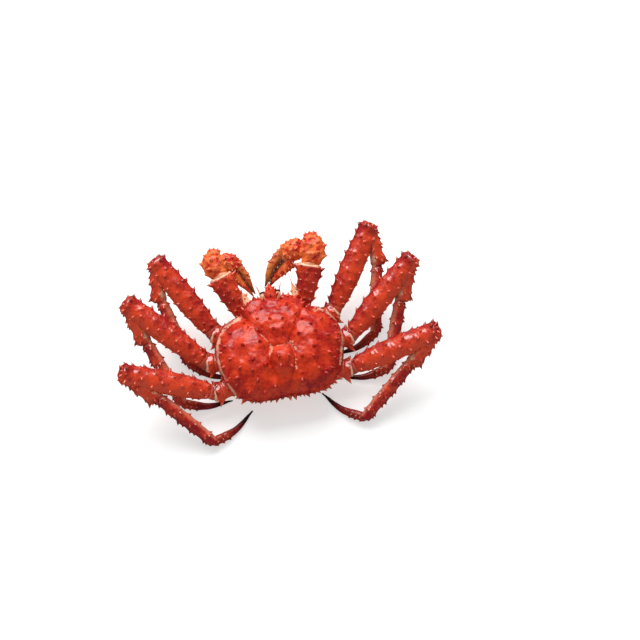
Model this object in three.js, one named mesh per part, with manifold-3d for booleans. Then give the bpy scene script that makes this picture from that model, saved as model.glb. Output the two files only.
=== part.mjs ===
// A red king crab, life size, lying on its belly with its legs folded and both claws held to its mouth.
// Millimetres, +Z up, head towards +Y. The origin is the middle of the flat that the belly rests on.
// The animal's left side is towards -X.
import * as THREE from 'three';
import { mergeVertices } from 'three/addons/utils/BufferGeometryUtils.js';
import Module from 'manifold-3d';

// Driving dimensions
const gap = 0.3;
const floorSize = 600;
const spineSides = 3;
const spineSink = 1.6;
const spineLean = 0.55;

// The back shell: the height of its lower edge, and the crown and fullness of its dome
const shellFloor = 38;
const shellMiddle = 2;
const shellRadius = 70;
const domeTop = 77;
const domeSharpness = 2.6;
const domeRoundness = 0.55;
const grooveDepth = 3.4;
const grooveWidth = 2.6;
const domeRings = 8;
const underRings = [0.985, 0.93, 0.5];

// Rim of the back shell on the right side, from the beak round to the middle of the hind edge
const rightRim = [
  [0, 71, 64], [5, 70, 63], [9, 66, 62], [14, 67, 61], [19, 71, 61], [30, 67, 61], [40, 58, 58],
  [42, 51, 53], [51, 53.5, 48], [63, 49, 46], [74, 39, 46], [81.5, 23, 46], [84, 3, 46],
  [81, -17, 45], [75, -34, 44], [65, -50, 42], [49, -60, 41], [27, -63, 40], [0, -62, 40],
];

// Grooves between the regions of the back, on the right side: one round the stomach region and down
// beside the heart region, and one across between the two
const grooves = [
  [[41, 50], [34, 38], [25, 23], [15, 6], [14, -6], [14, -24], [8, -38], [7, -56]],
  [[0, 0], [15, 6]],
];

// Lobes of the back: distance from the middle, place along the body, height and spread
const lobes = [
  [0, 36, 4.2, 19],
  [48, -2, 4.6, 22],
  [0, -17, 3, 10],
];

// Main spines of the back on the right side: their places in plan and their heights
const backSpines = [
  [20, 56, 4], [8, 33, 5], [31, 50, 4.5], [6, 20, 5], [5.5, -14, 6], [6, -28, 5.5],
  [25, 7, 5], [44, 18, 5], [62, 22, 5], [58, 2, 5], [40, -14, 5.5],
  [68, -14, 5], [24, -26, 5], [48, -30, 5], [34, -46, 4.5],
];
const backSpineLean = 0.35;
const edgeTeeth = 24;
const edgeToothHeight = 4.4;
const edgeToothShare = 0.96;

// The beak between the eyes, and the rows of spines on it
const beakPath = [[0, 62, 66], [0, 74, 69], [0, 84, 71]];

// The chest under the shell: share of its full outline at each height, from the top down
const chestMiddle = 4;
const chestHalfLength = 49;
const chestHalfWidth = 44;
const chestTaper = 0.1;
const chestWaist = 20;
const chestSides = 18;
const chestLevels = [
  [0, shellFloor - gap], [0.95, shellFloor - gap], [1, 33], [1, 22], [0.88, 13], [0.62, 8], [0, 8],
];

// The tail folds down behind the chest and forward under it, and its flat carries the body
const tailPath = [[0, -47, 31], [0, -48, 20], [0, -43, 8], [0, -30, 3.7], [0, -4, 3.7], [0, 24, 3.9]];

// Lengths of the leg segments, from the front pair of walking legs to the rear pair
const segmentLengths = {
  front: { merus: 120, carpus: 50, propodus: 91, dactylus: 60 },
  middle: { merus: 128, carpus: 54, propodus: 94, dactylus: 62 },
  rear: { merus: 122, carpus: 53, propodus: 94, dactylus: 64 },
};

// Where each merus starts, and the heading and rise in degrees of each segment from it outwards.
// A heading of 0 points along +X and of 90 along +Y.
const pose = (hip, merus, carpus, propodus, dactylus) => ({ hip, merus, carpus, propodus, dactylus });
const legPoses = {
  left: {
    front: pose([-81, 48, 28], [123, 25], [-91, -36], [-74, -26], [-30, -6]),
    middle: pose([-96, 8, 28], [139, 24], [-68, -36], [-67, -25], [-5, -7]),
    rear: pose([-93, -34, 27], [168, 26], [-33, -35], [-44, -26], [32, -7]),
  },
  right: {
    front: pose([81, 53, 28], [54, 25], [-87, -36], [-101, -26], [-160, -6]),
    middle: pose([96, 13, 28], [37, 24], [-120, -37], [-111, -25], [179, -6]),
    rear: pose([89, -32, 28], [4, 26], [-149, -40], [-144, -24], [137, -7]),
  },
};
const legRoots = { front: [38, 33, 22], middle: [40, 6, 22], rear: [34, -22, 22] };
const dactylusBow = 5;

// Half-widths and half-depths of a limb at even steps from the body outwards. The crest is the outer
// side of a bend, and the keel its inner side.
const profile = (width, crest, keel) => ({ width, crest, keel });
const legProfiles = {
  base: profile([10, 12, 12, 11], [10, 10.5, 10.5, 10], [9, 10, 10, 9.5]),
  merus: profile(
    [9.8, 13, 14.9, 15, 14, 12],
    [9.5, 12, 13.6, 13.6, 13, 11.6],
    [9, 11, 11.4, 10.4, 7.6, 4.5],
  ),
  carpus: profile([7.5, 9.5, 10.6, 9.6], [7, 9.5, 11, 10], [3.5, 4.5, 5.5, 6.5]),
  propodus: profile([8, 9.2, 9, 8.2, 7.4], [7.5, 9, 9, 8.2, 7.5], [5.5, 6.8, 7, 6.6, 6]),
  dactylus: profile([6, 6, 4.9, 3.3, 1.2], [6.3, 6.2, 5, 3.4, 1.2], [5.2, 5, 3.6, 2.4, 1]),
};
const legFacets = {
  base: { rings: 4 },
  merus: { rings: 6, bulge: 3 },
  carpus: { rings: 5 },
  propodus: { rings: 5 },
  dactylus: { rings: 5, sides: 6, bulge: 1 },
};

// A row of spines: the angle round the limb in degrees, with the crest at 90, then how many,
// where they start and end along the limb, and how tall they are
const row = (angle, count, from, to, height) => ({ angle, count, from, to, height });
const legSpines = {
  base: [row(15, 1, 0.85, 0.85, 5), row(165, 1, 0.85, 0.85, 5)],
  merus: [row(80, 3, 0.25, 0.95, 4), row(5, 3, 0.3, 0.95, 4), row(175, 3, 0.3, 0.95, 4)],
  carpus: [row(90, 1, 0.5, 0.5, 4.5), row(20, 2, 0.4, 0.95, 4.5), row(160, 2, 0.4, 0.95, 4.5)],
  propodus: [row(90, 2, 0.35, 0.85, 4), row(25, 2, 0.25, 0.7, 3.6), row(155, 2, 0.25, 0.7, 3.6)],
  dactylus: [],
};
const beakSpines = [row(25, 2, 0.45, 0.75, 3.5), row(155, 2, 0.45, 0.75, 3.5), row(90, 1, 0.4, 0.4, 3.5)];

// The claw limbs, bent so that the fingers reach back to the mouth: the places of their joints and
// the size of each hand, the right one being the larger
const clawPoses = {
  left: {
    root: [-24, 46, 26],
    hip: [-39, 57, 35],
    elbow: [-60, 109, 66],
    wrist: [[-62, 113, 68], [-67, 127, 71], [-64, 140, 72]],
    palm: [[-56, 130, 71], [-46, 129, 66], [-38, 123, 60]],
    thumb: [[-42, 118, 58], [-36, 108, 53], [-28, 97, 47], [-22, 87, 42]],
    finger: [[-37, 125, 60], [-30, 115, 56], [-24, 103, 50], [-19, 90, 42]],
    wristSize: 0.9,
    handSize: 0.8,
  },
  right: {
    root: [24, 46, 26],
    hip: [41, 55, 36],
    elbow: [58, 105, 66],
    wrist: [[61, 109, 68], [66, 126, 72], [66, 141, 74]],
    palm: [[54, 131, 73], [42, 131, 69], [30, 128, 64]],
    thumb: [[34, 119, 60], [24, 112, 56], [12, 104, 51], [3, 96, 45]],
    finger: [[27, 131, 65], [15, 123, 61], [4, 110, 54], [-3, 97, 45]],
    wristSize: 1,
    handSize: 1,
  },
};
const clawProfiles = {
  base: profile([9, 10, 9.5, 8.5], [9, 10, 9.5, 8.5], [8, 9, 9, 8]),
  merus: profile([7.5, 9.5, 12.5, 14.5, 14], [7.5, 9.5, 11.5, 12.5, 12], [7, 8.5, 10, 10.5, 9]),
  wrist: profile([13, 16, 15, 9], [12, 15, 14, 8], [10, 12, 11, 7]),
  palm: profile([9, 13, 13.5, 12], [8, 10.5, 10.5, 9], [7, 9.5, 9.5, 8]),
  thumb: profile([8, 6.4, 4.6, 1.4], [7, 6, 4.4, 1.4], [6.4, 5.4, 4, 1.2]),
  finger: profile([7, 6, 4.4, 1.4], [7, 6.2, 4.4, 1.4], [6, 5.4, 4, 1.2]),
};
const clawFacets = {
  base: { rings: 4, sides: 6 },
  merus: { rings: 6 },
  wrist: { rings: 6, bulge: 3 },
  palm: { rings: 5 },
  thumb: { rings: 5, sides: 6, bulge: 1 },
  finger: { rings: 5, sides: 6, bulge: 1 },
};
const clawSpines = {
  merus: [row(80, 2, 0.45, 0.9, 4), row(0, 2, 0.6, 0.98, 5), row(180, 3, 0.4, 0.98, 5)],
  wrist: [row(90, 2, 0.3, 0.8, 4.5), row(0, 2, 0.3, 0.8, 5), row(180, 3, 0.2, 0.85, 5)],
  palm: [row(90, 2, 0.4, 0.85, 3.4), row(0, 2, 0.4, 0.85, 4), row(180, 2, 0.4, 0.85, 4)],
};

// Eyes, antennae and mouthparts, on the right side
const eyePath = [[8, 64, 63], [9, 76, 66]];
const eyeRadii = [2.8, 2.6, 3.2, 2.6];
const antennaPath = [[26, 60, 42], [28, 74, 46], [30, 86, 50], [31, 93, 55], [32, 99, 61]];
const antennaRadii = [4, 3.6, 2.6, 0.7, 0.5];
const mouthPath = [[9, 56, 20], [9, 66, 27], [7, 67, 42]];

// The chin is the mass of folded mouth limbs under the head. It rests on the floor in front, as the
// tail does behind.
const chinHalfWidth = 17;
const chinHalfLength = 8.5;
const chinHalfHeight = 15;
const chinMiddle = [0, 54, 14.5];

const colours = {
  shell: 0xc8321c,
  limb: 0xc23a20,
  finger: 0x8a4a20,
  eye: 0x4a1c14,
  pale: 0xd9a070,
};

const wasm = await Module();
wasm.setup();

const vec = (x, y, z) => new THREE.Vector3(x, y, z);
const points = (list, sign = 1) => list.map(([x, y, z]) => vec(sign * x, y, z));

// A three.js geometry as a solid, with its shared vertices merged
function solidOf(geometry) {
  geometry.deleteAttribute('normal');
  geometry.deleteAttribute('uv');
  const merged = mergeVertices(geometry, 1e-3);
  return new wasm.Manifold(new wasm.Mesh({
    numProp: 3,
    vertProperties: Float32Array.from(merged.attributes.position.array),
    triVerts: Uint32Array.from(merged.index.array),
  }));
}

const joined = (solids) => solids.reduce((sum, solid) => sum.add(solid));
const cutBy = (solid, cutters) => cutters.reduce((rest, cutter) => rest.subtract(cutter), solid);

// The largest of the pieces that a cut leaves
function largestPiece(solid) {
  return solid.decompose().reduce((best, piece) => (piece.volume() > best.volume() ? piece : best));
}

// A smooth curve through evenly spaced values, with t from 0 to 1
function valueAt(values, t) {
  const last = values.length - 1;
  const place = THREE.MathUtils.clamp(t, 0, 1) * last;
  const i = Math.min(Math.floor(place), last - 1);
  const f = place - i;
  const before = values[Math.max(i - 1, 0)];
  const after = values[Math.min(i + 2, last)];
  const rise = (values[i + 1] - before) / 2;
  const fall = (after - values[i]) / 2;
  return (2 * f ** 3 - 3 * f ** 2 + 1) * values[i] + (f ** 3 - 2 * f ** 2 + f) * rise
    + (3 * f ** 2 - 2 * f ** 3) * values[i + 1] + (f ** 3 - f ** 2) * fall;
}

// A closed body moulded from a sphere. place(along, angle) gives the point for a share of the way
// from pole to pole and an angle round the axis.
function moulded(sides, rings, place) {
  const geometry = new THREE.SphereGeometry(1, sides, rings);
  const position = geometry.attributes.position;
  for (let i = 0; i < position.count; i += 1) {
    const along = Math.acos(THREE.MathUtils.clamp(position.getY(i), -1, 1)) / Math.PI;
    const angle = Math.atan2(position.getZ(i), position.getX(i));
    const point = place(along, angle);
    position.setXYZ(i, point.x, point.y, point.z);
  }
  return solidOf(geometry);
}

// A limb is a tube of oval section along a smooth path. Its hinge is the direction across the limb
// about which it bends, and its two ends are domes of a given bulge.
class Limb {
  constructor({ path, hinge, width, crest, keel, bulge = 2, sides = 8, rings = 7 }) {
    this.curve = new THREE.CatmullRomCurve3(path, false, 'catmullrom', 0.5);
    Object.assign(this, { hinge, width, crest, keel, bulge, sides, rings });
  }

  frame(t) {
    const tangent = this.curve.getTangent(t).normalize();
    const side = this.hinge.clone().addScaledVector(tangent, -this.hinge.dot(tangent)).normalize();
    const back = tangent.clone().cross(side);
    return { centre: this.curve.getPoint(t), tangent, back, side };
  }

  // Half-width and half-depth of the section at t, on the side that the angle faces
  radii(t, angle, extra = 0) {
    const depth = valueAt(Math.sin(angle) > 0 ? this.crest : this.keel, t);
    return { width: valueAt(this.width, t) + extra, depth: depth + extra };
  }

  point(t, angle, extra = 0) {
    const { centre, back, side } = this.frame(t);
    const { width, depth } = this.radii(t, angle, extra);
    return centre
      .addScaledVector(side, width * Math.cos(angle))
      .addScaledVector(back, depth * Math.sin(angle));
  }

  solid(extra = 0) {
    const first = 1 / this.rings;
    return moulded(this.sides, this.rings, (along, angle) => {
      if (along < first / 2 || along > 1 - first / 2) {
        const end = Math.round(along);
        const { centre, tangent } = this.frame(end);
        return centre.addScaledVector(tangent, (2 * end - 1) * (this.bulge + extra));
      }
      const t = THREE.MathUtils.clamp((along - first) / (1 - 2 * first), 0, 1);
      return this.point(t, angle, extra);
    });
  }

  // Where a spine stands on the surface and which way it points, leaning towards the tip of the limb
  footing(t, degrees) {
    const angle = THREE.MathUtils.degToRad(degrees);
    const { tangent, back, side } = this.frame(t);
    const { width, depth } = this.radii(t, angle);
    const direction = side.multiplyScalar(Math.cos(angle) / width)
      .addScaledVector(back, Math.sin(angle) / depth).normalize()
      .addScaledVector(tangent, spineLean).normalize();
    return { foot: this.point(t, angle), direction };
  }

  // The spines of the given rows, each a solid of its own
  spines(rows) {
    return rows.flatMap(({ angle, count, from, to, height }) =>
      Array.from({ length: count }, (_, i) => {
        const t = count > 1 ? THREE.MathUtils.lerp(from, to, i / (count - 1)) : from;
        return spine(this.footing(t, angle), height);
      }));
  }
}

// A sharp spine whose base is sunk a little below the skin, and wider where the spine is taller
function spine({ foot, direction }, height) {
  const radius = 0.42 * height + 0.5;
  const geometry = new THREE.ConeGeometry(radius, height + spineSink, spineSides, 1);
  geometry.translate(0, (height - spineSink) / 2, 0);
  geometry.applyQuaternion(new THREE.Quaternion().setFromUnitVectors(vec(0, 1, 0), direction));
  geometry.translate(foot.x, foot.y, foot.z);
  return solidOf(geometry);
}

const crab = new THREE.Group();
const groundBlock = new THREE.BoxGeometry(floorSize, floorSize, floorSize);
const ground = solidOf(groundBlock.translate(0, 0, -floorSize / 2));

// Adds a part, trimmed flat where it rests on the floor
function addPart(name, solid, colour) {
  const mesh = largestPiece(solid.subtract(ground)).getMesh();
  const geometry = new THREE.BufferGeometry();
  geometry.setAttribute('position', new THREE.BufferAttribute(mesh.vertProperties, 3));
  geometry.setIndex(new THREE.BufferAttribute(mesh.triVerts, 1));
  const material = new THREE.MeshStandardMaterial({ color: colour, roughness: 0.4, metalness: 0 });
  const part = new THREE.Mesh(geometry, material);
  part.name = name;
  crab.add(part);
}

// The back shell
const rimPoints = [...points(rightRim), ...points(rightRim.slice(1, -1).reverse(), -1)];
const rim = new THREE.CatmullRomCurve3(rimPoints, true, 'catmullrom', 0.5);

function distanceToLine(x, y, line) {
  let nearest = Infinity;
  for (let i = 0; i + 1 < line.length; i += 1) {
    const [ax, ay] = line[i];
    const [dx, dy] = [line[i + 1][0] - ax, line[i + 1][1] - ay];
    const t = THREE.MathUtils.clamp(((x - ax) * dx + (y - ay) * dy) / (dx * dx + dy * dy), 0, 1);
    nearest = Math.min(nearest, Math.hypot(x - ax - t * dx, y - ay - t * dy));
  }
  return nearest;
}

// Height of the back above the floor, at a share of the way from the middle of the shell to its rim
function backHeight(x, y, share, rimHeight) {
  const across = Math.abs(x);
  const dome = Math.max(0, 1 - share ** domeSharpness) ** domeRoundness;
  const swell = lobes.reduce((sum, [cx, cy, height, spread]) =>
    sum + height * Math.exp(-((across - cx) ** 2 + (y - cy) ** 2) / (2 * spread ** 2)), 0);
  const nearest = Math.min(...grooves.map((line) => distanceToLine(across, y, line)));
  const groove = grooveDepth * Math.exp(-0.5 * (nearest / grooveWidth) ** 2);
  return rimHeight + (domeTop - rimHeight + swell - groove) * dome;
}

// A point of the back at a share of the way to the rim and a turn from 0 to 1 round it
function backPoint(share, turn) {
  const edge = rim.getPoint((turn + 1) % 1);
  const x = edge.x * share;
  const y = THREE.MathUtils.lerp(shellMiddle, edge.y, share);
  return vec(x, y, backHeight(x, y, share, edge.z));
}

// The share and turn of the back point that has a given place in plan
function onBack(x, y) {
  const steps = 720;
  const wanted = Math.atan2(y - shellMiddle, x);
  let best = { miss: Infinity };
  for (let i = 0; i < steps; i += 1) {
    const edge = rim.getPoint(i / steps);
    const miss = Math.abs(Math.atan2(edge.y - shellMiddle, edge.x) - wanted);
    if (miss < best.miss) {
      const share = Math.hypot(x, y - shellMiddle) / Math.hypot(edge.x, edge.y - shellMiddle);
      best = { miss, share, turn: i / steps };
    }
  }
  return best;
}

// A spine's footing on the back, square to the slope and leaning outwards
function backFooting(share, turn) {
  const step = 0.02;
  const foot = backPoint(share, turn);
  const outwards = foot.clone().sub(backPoint(share - step, turn));
  const round = backPoint(share, turn + step / 4).sub(backPoint(share, turn - step / 4));
  const normal = outwards.cross(round).normalize();
  if (normal.z < 0) normal.negate();
  const lean = foot.clone().setZ(0).normalize();
  return { foot, direction: normal.addScaledVector(lean, backSpineLean).normalize() };
}

// The shell without its spines: the dome down to the rim, and rings that turn in under it
function shellBody(extra = 0) {
  const rings = domeRings + underRings.length + 1;
  const swell = 1 + extra / shellRadius;
  return moulded(rimPoints.length, rings, (along, angle) => {
    const ring = Math.round(along * rings);
    const turn = (angle / (2 * Math.PI) + 1) % 1;
    if (ring <= domeRings) {
      const point = backPoint(Math.sin((ring / domeRings) * (Math.PI / 2)) ** 0.9, turn);
      return vec(point.x * swell, point.y * swell, point.z + extra);
    }
    if (ring === rings) return vec(0, shellMiddle, shellFloor - extra);
    const edge = rim.getPoint(turn);
    const reach = underRings[ring - domeRings - 1] * swell;
    const height = ring === domeRings + 1 ? (edge.z + shellFloor) / 2 : shellFloor - extra;
    return vec(edge.x * reach, (edge.y - shellMiddle) * reach + shellMiddle, height);
  });
}

function makeShell() {
  const spines = [];
  for (const side of [1, -1]) {
    for (const [x, y, height] of backSpines) {
      const { share, turn } = onBack(side * x, y);
      spines.push(spine(backFooting(share, turn), height));
    }
  }
  for (let i = 0; i < edgeTeeth; i += 1) {
    const turn = (i + 0.5) / edgeTeeth;
    const foot = backPoint(edgeToothShare, turn);
    const edge = rim.getPoint(turn);
    const direction = vec(edge.x, edge.y - shellMiddle, 0).normalize().setZ(backSpineLean).normalize();
    spines.push(spine({ foot, direction }, edgeToothHeight));
  }
  const beak = new Limb({
    path: points(beakPath),
    hinge: vec(-1, 0, 0),
    ...profile([7, 4.6, 1], [5, 3.6, 1], [4, 3.2, 1]),
    bulge: 1,
    rings: 5,
  });
  return joined([shellBody(), beak.solid(), ...beak.spines(beakSpines), ...spines]);
}

// The chest carries the limbs under the shell
function chestBody(extra = 0) {
  const last = chestLevels.length - 1;
  return moulded(chestSides, last, (along, angle) => {
    const [reach, height] = chestLevels[Math.round(along * last)];
    const swell = reach * (1 + extra / chestHalfWidth);
    const halfWidth = chestHalfWidth * (1 - chestTaper * Math.cos(angle));
    const lift = height > chestWaist ? extra : -extra;
    const x = -halfWidth * Math.sin(angle) * swell;
    const y = chestMiddle - chestHalfLength * Math.cos(angle) * swell;
    return vec(x, y, height + lift);
  });
}

const trunk = [chestBody(gap), shellBody(gap)];

function makeTail() {
  const tail = new Limb({
    path: points(tailPath),
    hinge: vec(1, 0, 0),
    ...profile([28, 30, 30, 28, 24, 12], [3.6, 4, 4, 4, 4, 3.4], [3.6, 4, 4, 4, 4, 3.4]),
    bulge: 1.5,
    rings: 9,
  });
  return cutBy(tail.solid(), trunk);
}

// A point that lies at a given length, heading and rise from another
function stepFrom(start, length, [heading, rise]) {
  const [turn, lift] = [heading, rise].map(THREE.MathUtils.degToRad);
  const level = length * Math.cos(lift);
  return start.clone().add(vec(level * Math.cos(turn), level * Math.sin(turn), length * Math.sin(lift)));
}

// The hinge direction across a segment, such that its crest faces away from a point
function hingeAwayFrom(start, end, inner) {
  const along = end.clone().sub(start).normalize();
  const crest = start.clone().sub(inner);
  crest.addScaledVector(along, -crest.dot(along)).normalize();
  return crest.cross(along);
}

// A point far below another, away from which the crest of a raised limb faces
const below = (point) => point.clone().setZ(-1000);

function makeLeg(side, pair) {
  const sign = side === 'left' ? -1 : 1;
  const { hip: hipPlace, ...turns } = legPoses[side][pair];
  const lengths = segmentLengths[pair];
  const [root] = points([legRoots[pair]], sign);
  const [hip] = points([hipPlace]);
  const knee = stepFrom(hip, lengths.merus, turns.merus);
  const wrist = stepFrom(knee, lengths.carpus, turns.carpus);
  const ankle = stepFrom(wrist, lengths.propodus, turns.propodus);
  const tip = stepFrom(ankle, lengths.dactylus, turns.dactylus);

  const clawHinge = hingeAwayFrom(ankle, tip, wrist);
  const outwards = tip.clone().sub(ankle).normalize().cross(clawHinge);
  const bend = ankle.clone().lerp(tip, 0.5).addScaledVector(outwards, dactylusBow);
  const segments = {
    base: { path: [root, hip], hinge: hingeAwayFrom(root, hip, below(hip)) },
    merus: { path: [hip, knee], hinge: hingeAwayFrom(hip, knee, below(hip)) },
    carpus: { path: [knee, wrist], hinge: hingeAwayFrom(knee, wrist, hip) },
    propodus: { path: [wrist, ankle], hinge: hingeAwayFrom(wrist, ankle, hip) },
    dactylus: { path: [ankle, bend, tip], hinge: clawHinge },
  };
  const names = Object.keys(segments);
  const limbs = names.map((name) =>
    new Limb({ ...segments[name], ...legProfiles[name], ...legFacets[name] }));

  // Each segment makes room for the two before it, and its spines for the two after it as well
  limbs.forEach((limb, i) => {
    const inner = i ? limbs.slice(Math.max(0, i - 2), i).map((other) => other.solid(gap)) : trunk;
    const outer = limbs.slice(i + 1, i + 3).map((other) => other.solid(gap));
    const spines = limb.spines(legSpines[names[i]]).map((tooth) => cutBy(tooth, [...inner, ...outer]));
    addPart(`leg_${side}_${pair}_${names[i]}`, joined([cutBy(limb.solid(), inner), ...spines]), colours.limb);
  });
}

function makeClaw(side) {
  const { wristSize, handSize, ...paths } = clawPoses[side];
  const [root, hip, elbow] = points([paths.root, paths.hip, paths.elbow]);
  const [wrist, palm, thumb, finger] = ['wrist', 'palm', 'thumb', 'finger']
    .map((name) => points(paths[name]));

  // The two fingers open in one plane, and the crest of the hand faces up out of it
  const spread = finger[0].clone().sub(thumb[0]);
  const upwards = spread.cross(palm[palm.length - 1].clone().sub(palm[0]));
  if (upwards.z < 0) upwards.negate();
  const acrossHand = (path) => upwards.clone().cross(path[path.length - 1].clone().sub(path[0])).normalize();

  const sized = (name, size) => profile(...['width', 'crest', 'keel'].map((edge) =>
    clawProfiles[name][edge].map((radius) => radius * size)));
  const wristHinge = hingeAwayFrom(elbow, wrist[wrist.length - 1], below(elbow));
  const limbs = {
    base: { path: [root, hip], hinge: hingeAwayFrom(root, hip, below(hip)), ...sized('base', 1) },
    merus: { path: [hip, elbow], hinge: hingeAwayFrom(hip, elbow, below(hip)), ...sized('merus', 1) },
    wrist: { path: wrist, hinge: wristHinge, ...sized('wrist', wristSize) },
    palm: { path: palm, hinge: acrossHand(palm), ...sized('palm', handSize) },
    thumb: { path: thumb, hinge: acrossHand(thumb), ...sized('thumb', handSize) },
    finger: { path: finger, hinge: acrossHand(finger), ...sized('finger', handSize) },
  };
  for (const name of Object.keys(limbs)) {
    limbs[name] = new Limb({ ...limbs[name], ...clawFacets[name] });
  }

  // A segment makes room for the ones in inner, and its spines alone for the ones in outer
  const cutters = (names) => names.map((name) => limbs[name].solid(gap));
  const made = (name, inner, outer = []) => {
    const spines = limbs[name].spines(clawSpines[name] ?? [])
      .map((tooth) => cutBy(tooth, cutters(outer)));
    return cutBy(joined([limbs[name].solid(), ...spines]), cutters(inner));
  };
  addPart(`claw_${side}_base`, cutBy(made('base', []), trunk), colours.limb);
  addPart(`claw_${side}_merus`, cutBy(made('merus', ['base'], ['wrist']), trunk), colours.limb);
  addPart(`claw_${side}_carpus`, made('wrist', ['merus'], ['palm']), colours.limb);
  addPart(`claw_${side}_palm`, made('palm', ['wrist', 'merus']).add(limbs.thumb.solid()), colours.limb);
  addPart(`claw_${side}_finger`, made('finger', ['palm', 'thumb', 'wrist']), colours.finger);
}

// A round stalk or feeler on one side of the head
function makeFeeler(path, radii, sign, facets) {
  const feeler = new Limb({
    path: points(path, sign),
    hinge: vec(-1, 0, 0),
    ...profile(radii, radii, radii),
    ...facets,
  });
  return feeler.solid();
}

function makeMouth() {
  const [x, y, z] = chinMiddle;
  const chin = moulded(8, 4, (along, angle) => {
    const ring = Math.sin(along * Math.PI);
    const right = chinHalfWidth * ring * Math.cos(angle);
    const forward = chinHalfLength * Math.cos(along * Math.PI);
    return vec(x + right, y + forward, z + chinHalfHeight * ring * Math.sin(angle));
  });
  const jaws = [1, -1].map((sign) => makeFeeler(mouthPath, [5.5, 4.8, 3], sign, { rings: 4, sides: 6 }));
  return joined([chin, ...jaws]);
}

addPart('carapace', makeShell(), colours.shell);
addPart('chest', chestBody(), colours.pale);
addPart('tail', makeTail(), colours.limb);
addPart('mouthparts', cutBy(makeMouth(), trunk), colours.pale);
for (const [side, sign] of [['left', -1], ['right', 1]]) {
  const eye = makeFeeler(eyePath, eyeRadii, sign, { bulge: 1.6, rings: 6, sides: 6 });
  const antenna = makeFeeler(antennaPath, antennaRadii, sign, { bulge: 0.5, rings: 8, sides: 5 });
  addPart(`eye_${side}`, cutBy(eye, trunk), colours.eye);
  addPart(`antenna_${side}`, cutBy(antenna, trunk), colours.pale);
  makeClaw(side);
  for (const pair of ['front', 'middle', 'rear']) {
    makeLeg(side, pair);
  }
}

export default crab;
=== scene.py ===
"""Finish of a cooked red king crab lying on a pale floor.

The animal's sizes are in millimetres here, as it would be measured, and its meshes are written in
metres. The head points along +Y, the animal's right side is towards +X and up is +Z.
"""
import math

import bpy
import numpy as np
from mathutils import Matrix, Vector


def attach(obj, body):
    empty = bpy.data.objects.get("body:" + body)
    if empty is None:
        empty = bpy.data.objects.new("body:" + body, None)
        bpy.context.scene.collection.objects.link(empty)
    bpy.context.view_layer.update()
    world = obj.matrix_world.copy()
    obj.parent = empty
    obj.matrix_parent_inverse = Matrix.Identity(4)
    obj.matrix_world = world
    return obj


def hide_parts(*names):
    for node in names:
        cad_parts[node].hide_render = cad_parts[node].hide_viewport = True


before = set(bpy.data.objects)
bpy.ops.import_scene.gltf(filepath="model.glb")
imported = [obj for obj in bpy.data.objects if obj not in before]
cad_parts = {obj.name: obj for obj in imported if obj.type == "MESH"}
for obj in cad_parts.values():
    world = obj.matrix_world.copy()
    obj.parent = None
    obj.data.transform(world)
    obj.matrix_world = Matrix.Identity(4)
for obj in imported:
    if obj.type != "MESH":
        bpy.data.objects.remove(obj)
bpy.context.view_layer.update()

MM = 0.001
FULL_TURN = 2 * math.pi
PHOTO_SIZE = 640

# What each point tells its material: how far up a spine it is, how pale, how dark and how orange
MARKS = ("tip", "pale", "dark", "warm")
EVEN = 0.5


# Curves, noise and grids

def through(values, t, padded=None):
    """Smooth curve through evenly spaced rows, for t from 0 to 1: each stretch is the cubic whose
    slope at a row is half the step between that row's two neighbours."""
    values = np.asarray(values, float)
    if padded is None:
        padded = np.concatenate([values[:1], values, values[-1:]])
    last = len(padded) - 3
    place = np.clip(np.asarray(t, float), 0, 1) * last
    i = np.minimum(place.astype(int), last - 1)
    f = place - i
    if values.ndim > 1:
        f = f[..., None]
    before, start, end, after = (padded[i + k] for k in range(4))
    return (start + 0.5 * f * (end - before)
            + f ** 2 * (before - 2.5 * start + 2 * end - 0.5 * after)
            + f ** 3 * (1.5 * (start - end) + 0.5 * (after - before)))


def unit(vectors):
    """Each vector scaled to length one."""
    vectors = np.asarray(vectors, float)
    return vectors / np.maximum(np.linalg.norm(vectors, axis=-1, keepdims=True), 1e-12)


def smoothstep(low, high, value):
    """0 below low, 1 above high, and the cubic 3s^2 - 2s^3 between."""
    s = np.clip((np.asarray(value, float) - low) / (high - low), 0, 1)
    return s * s * (3 - 2 * s)


def bell(distance, width):
    """1 at no distance, falling as exp(-distance^2 / 2 width^2)."""
    return np.exp(-0.5 * (np.asarray(distance, float) / width) ** 2)


def ripple(points, size, seed, waves=10):
    """Soft random relief about 0: a sum of sine waves of one length, each with a direction and a
    phase of its own."""
    draw = np.random.default_rng(seed)
    directions = unit(draw.normal(size=(waves, 3))) * FULL_TURN / size
    phases = draw.uniform(0, FULL_TURN, waves)
    return np.sin(points @ directions.T + phases).sum(-1) / math.sqrt(waves)


def turns(count):
    """Evenly spaced angles round a full turn."""
    return np.arange(count) / count * FULL_TURN


def sphere_rings(rows, columns):
    """Rings of a sphere of radius one, from the lowest to the highest, without its poles."""
    fall = (np.arange(rows) + 1)[:, None] / (rows + 1) * math.pi
    angle = turns(columns)
    return np.stack([np.sin(fall) * np.cos(angle), np.sin(fall) * np.sin(angle),
                     -np.cos(fall) + 0 * angle], -1)


def grid_normals(points, wrapped=True):
    """Unit normals of a grid: the cross product of its steps across and down."""
    down = np.gradient(points, axis=0)
    if wrapped:
        across = np.roll(points, -1, axis=1) - np.roll(points, 1, axis=1)
    else:
        across = np.gradient(points, axis=1)
    return unit(np.cross(across, down))


def tube_faces(rows, columns):
    """Faces of a grid of rows that wraps round, closed by the first and last vertices."""
    ring = np.arange(columns)
    after = (ring + 1) % columns
    start = 1 + np.arange(rows - 1)[:, None] * columns
    quads = np.stack([start + ring, start + after, start + columns + after, start + columns + ring], -1)
    last = 1 + (rows - 1) * columns
    first_cap = np.stack([np.zeros(columns, int), 1 + after, 1 + ring], -1)
    last_cap = np.stack([np.full(columns, last + columns), last + ring, last + after], -1)
    return quads.reshape(-1, 4), np.vstack([first_cap, last_cap])


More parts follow.
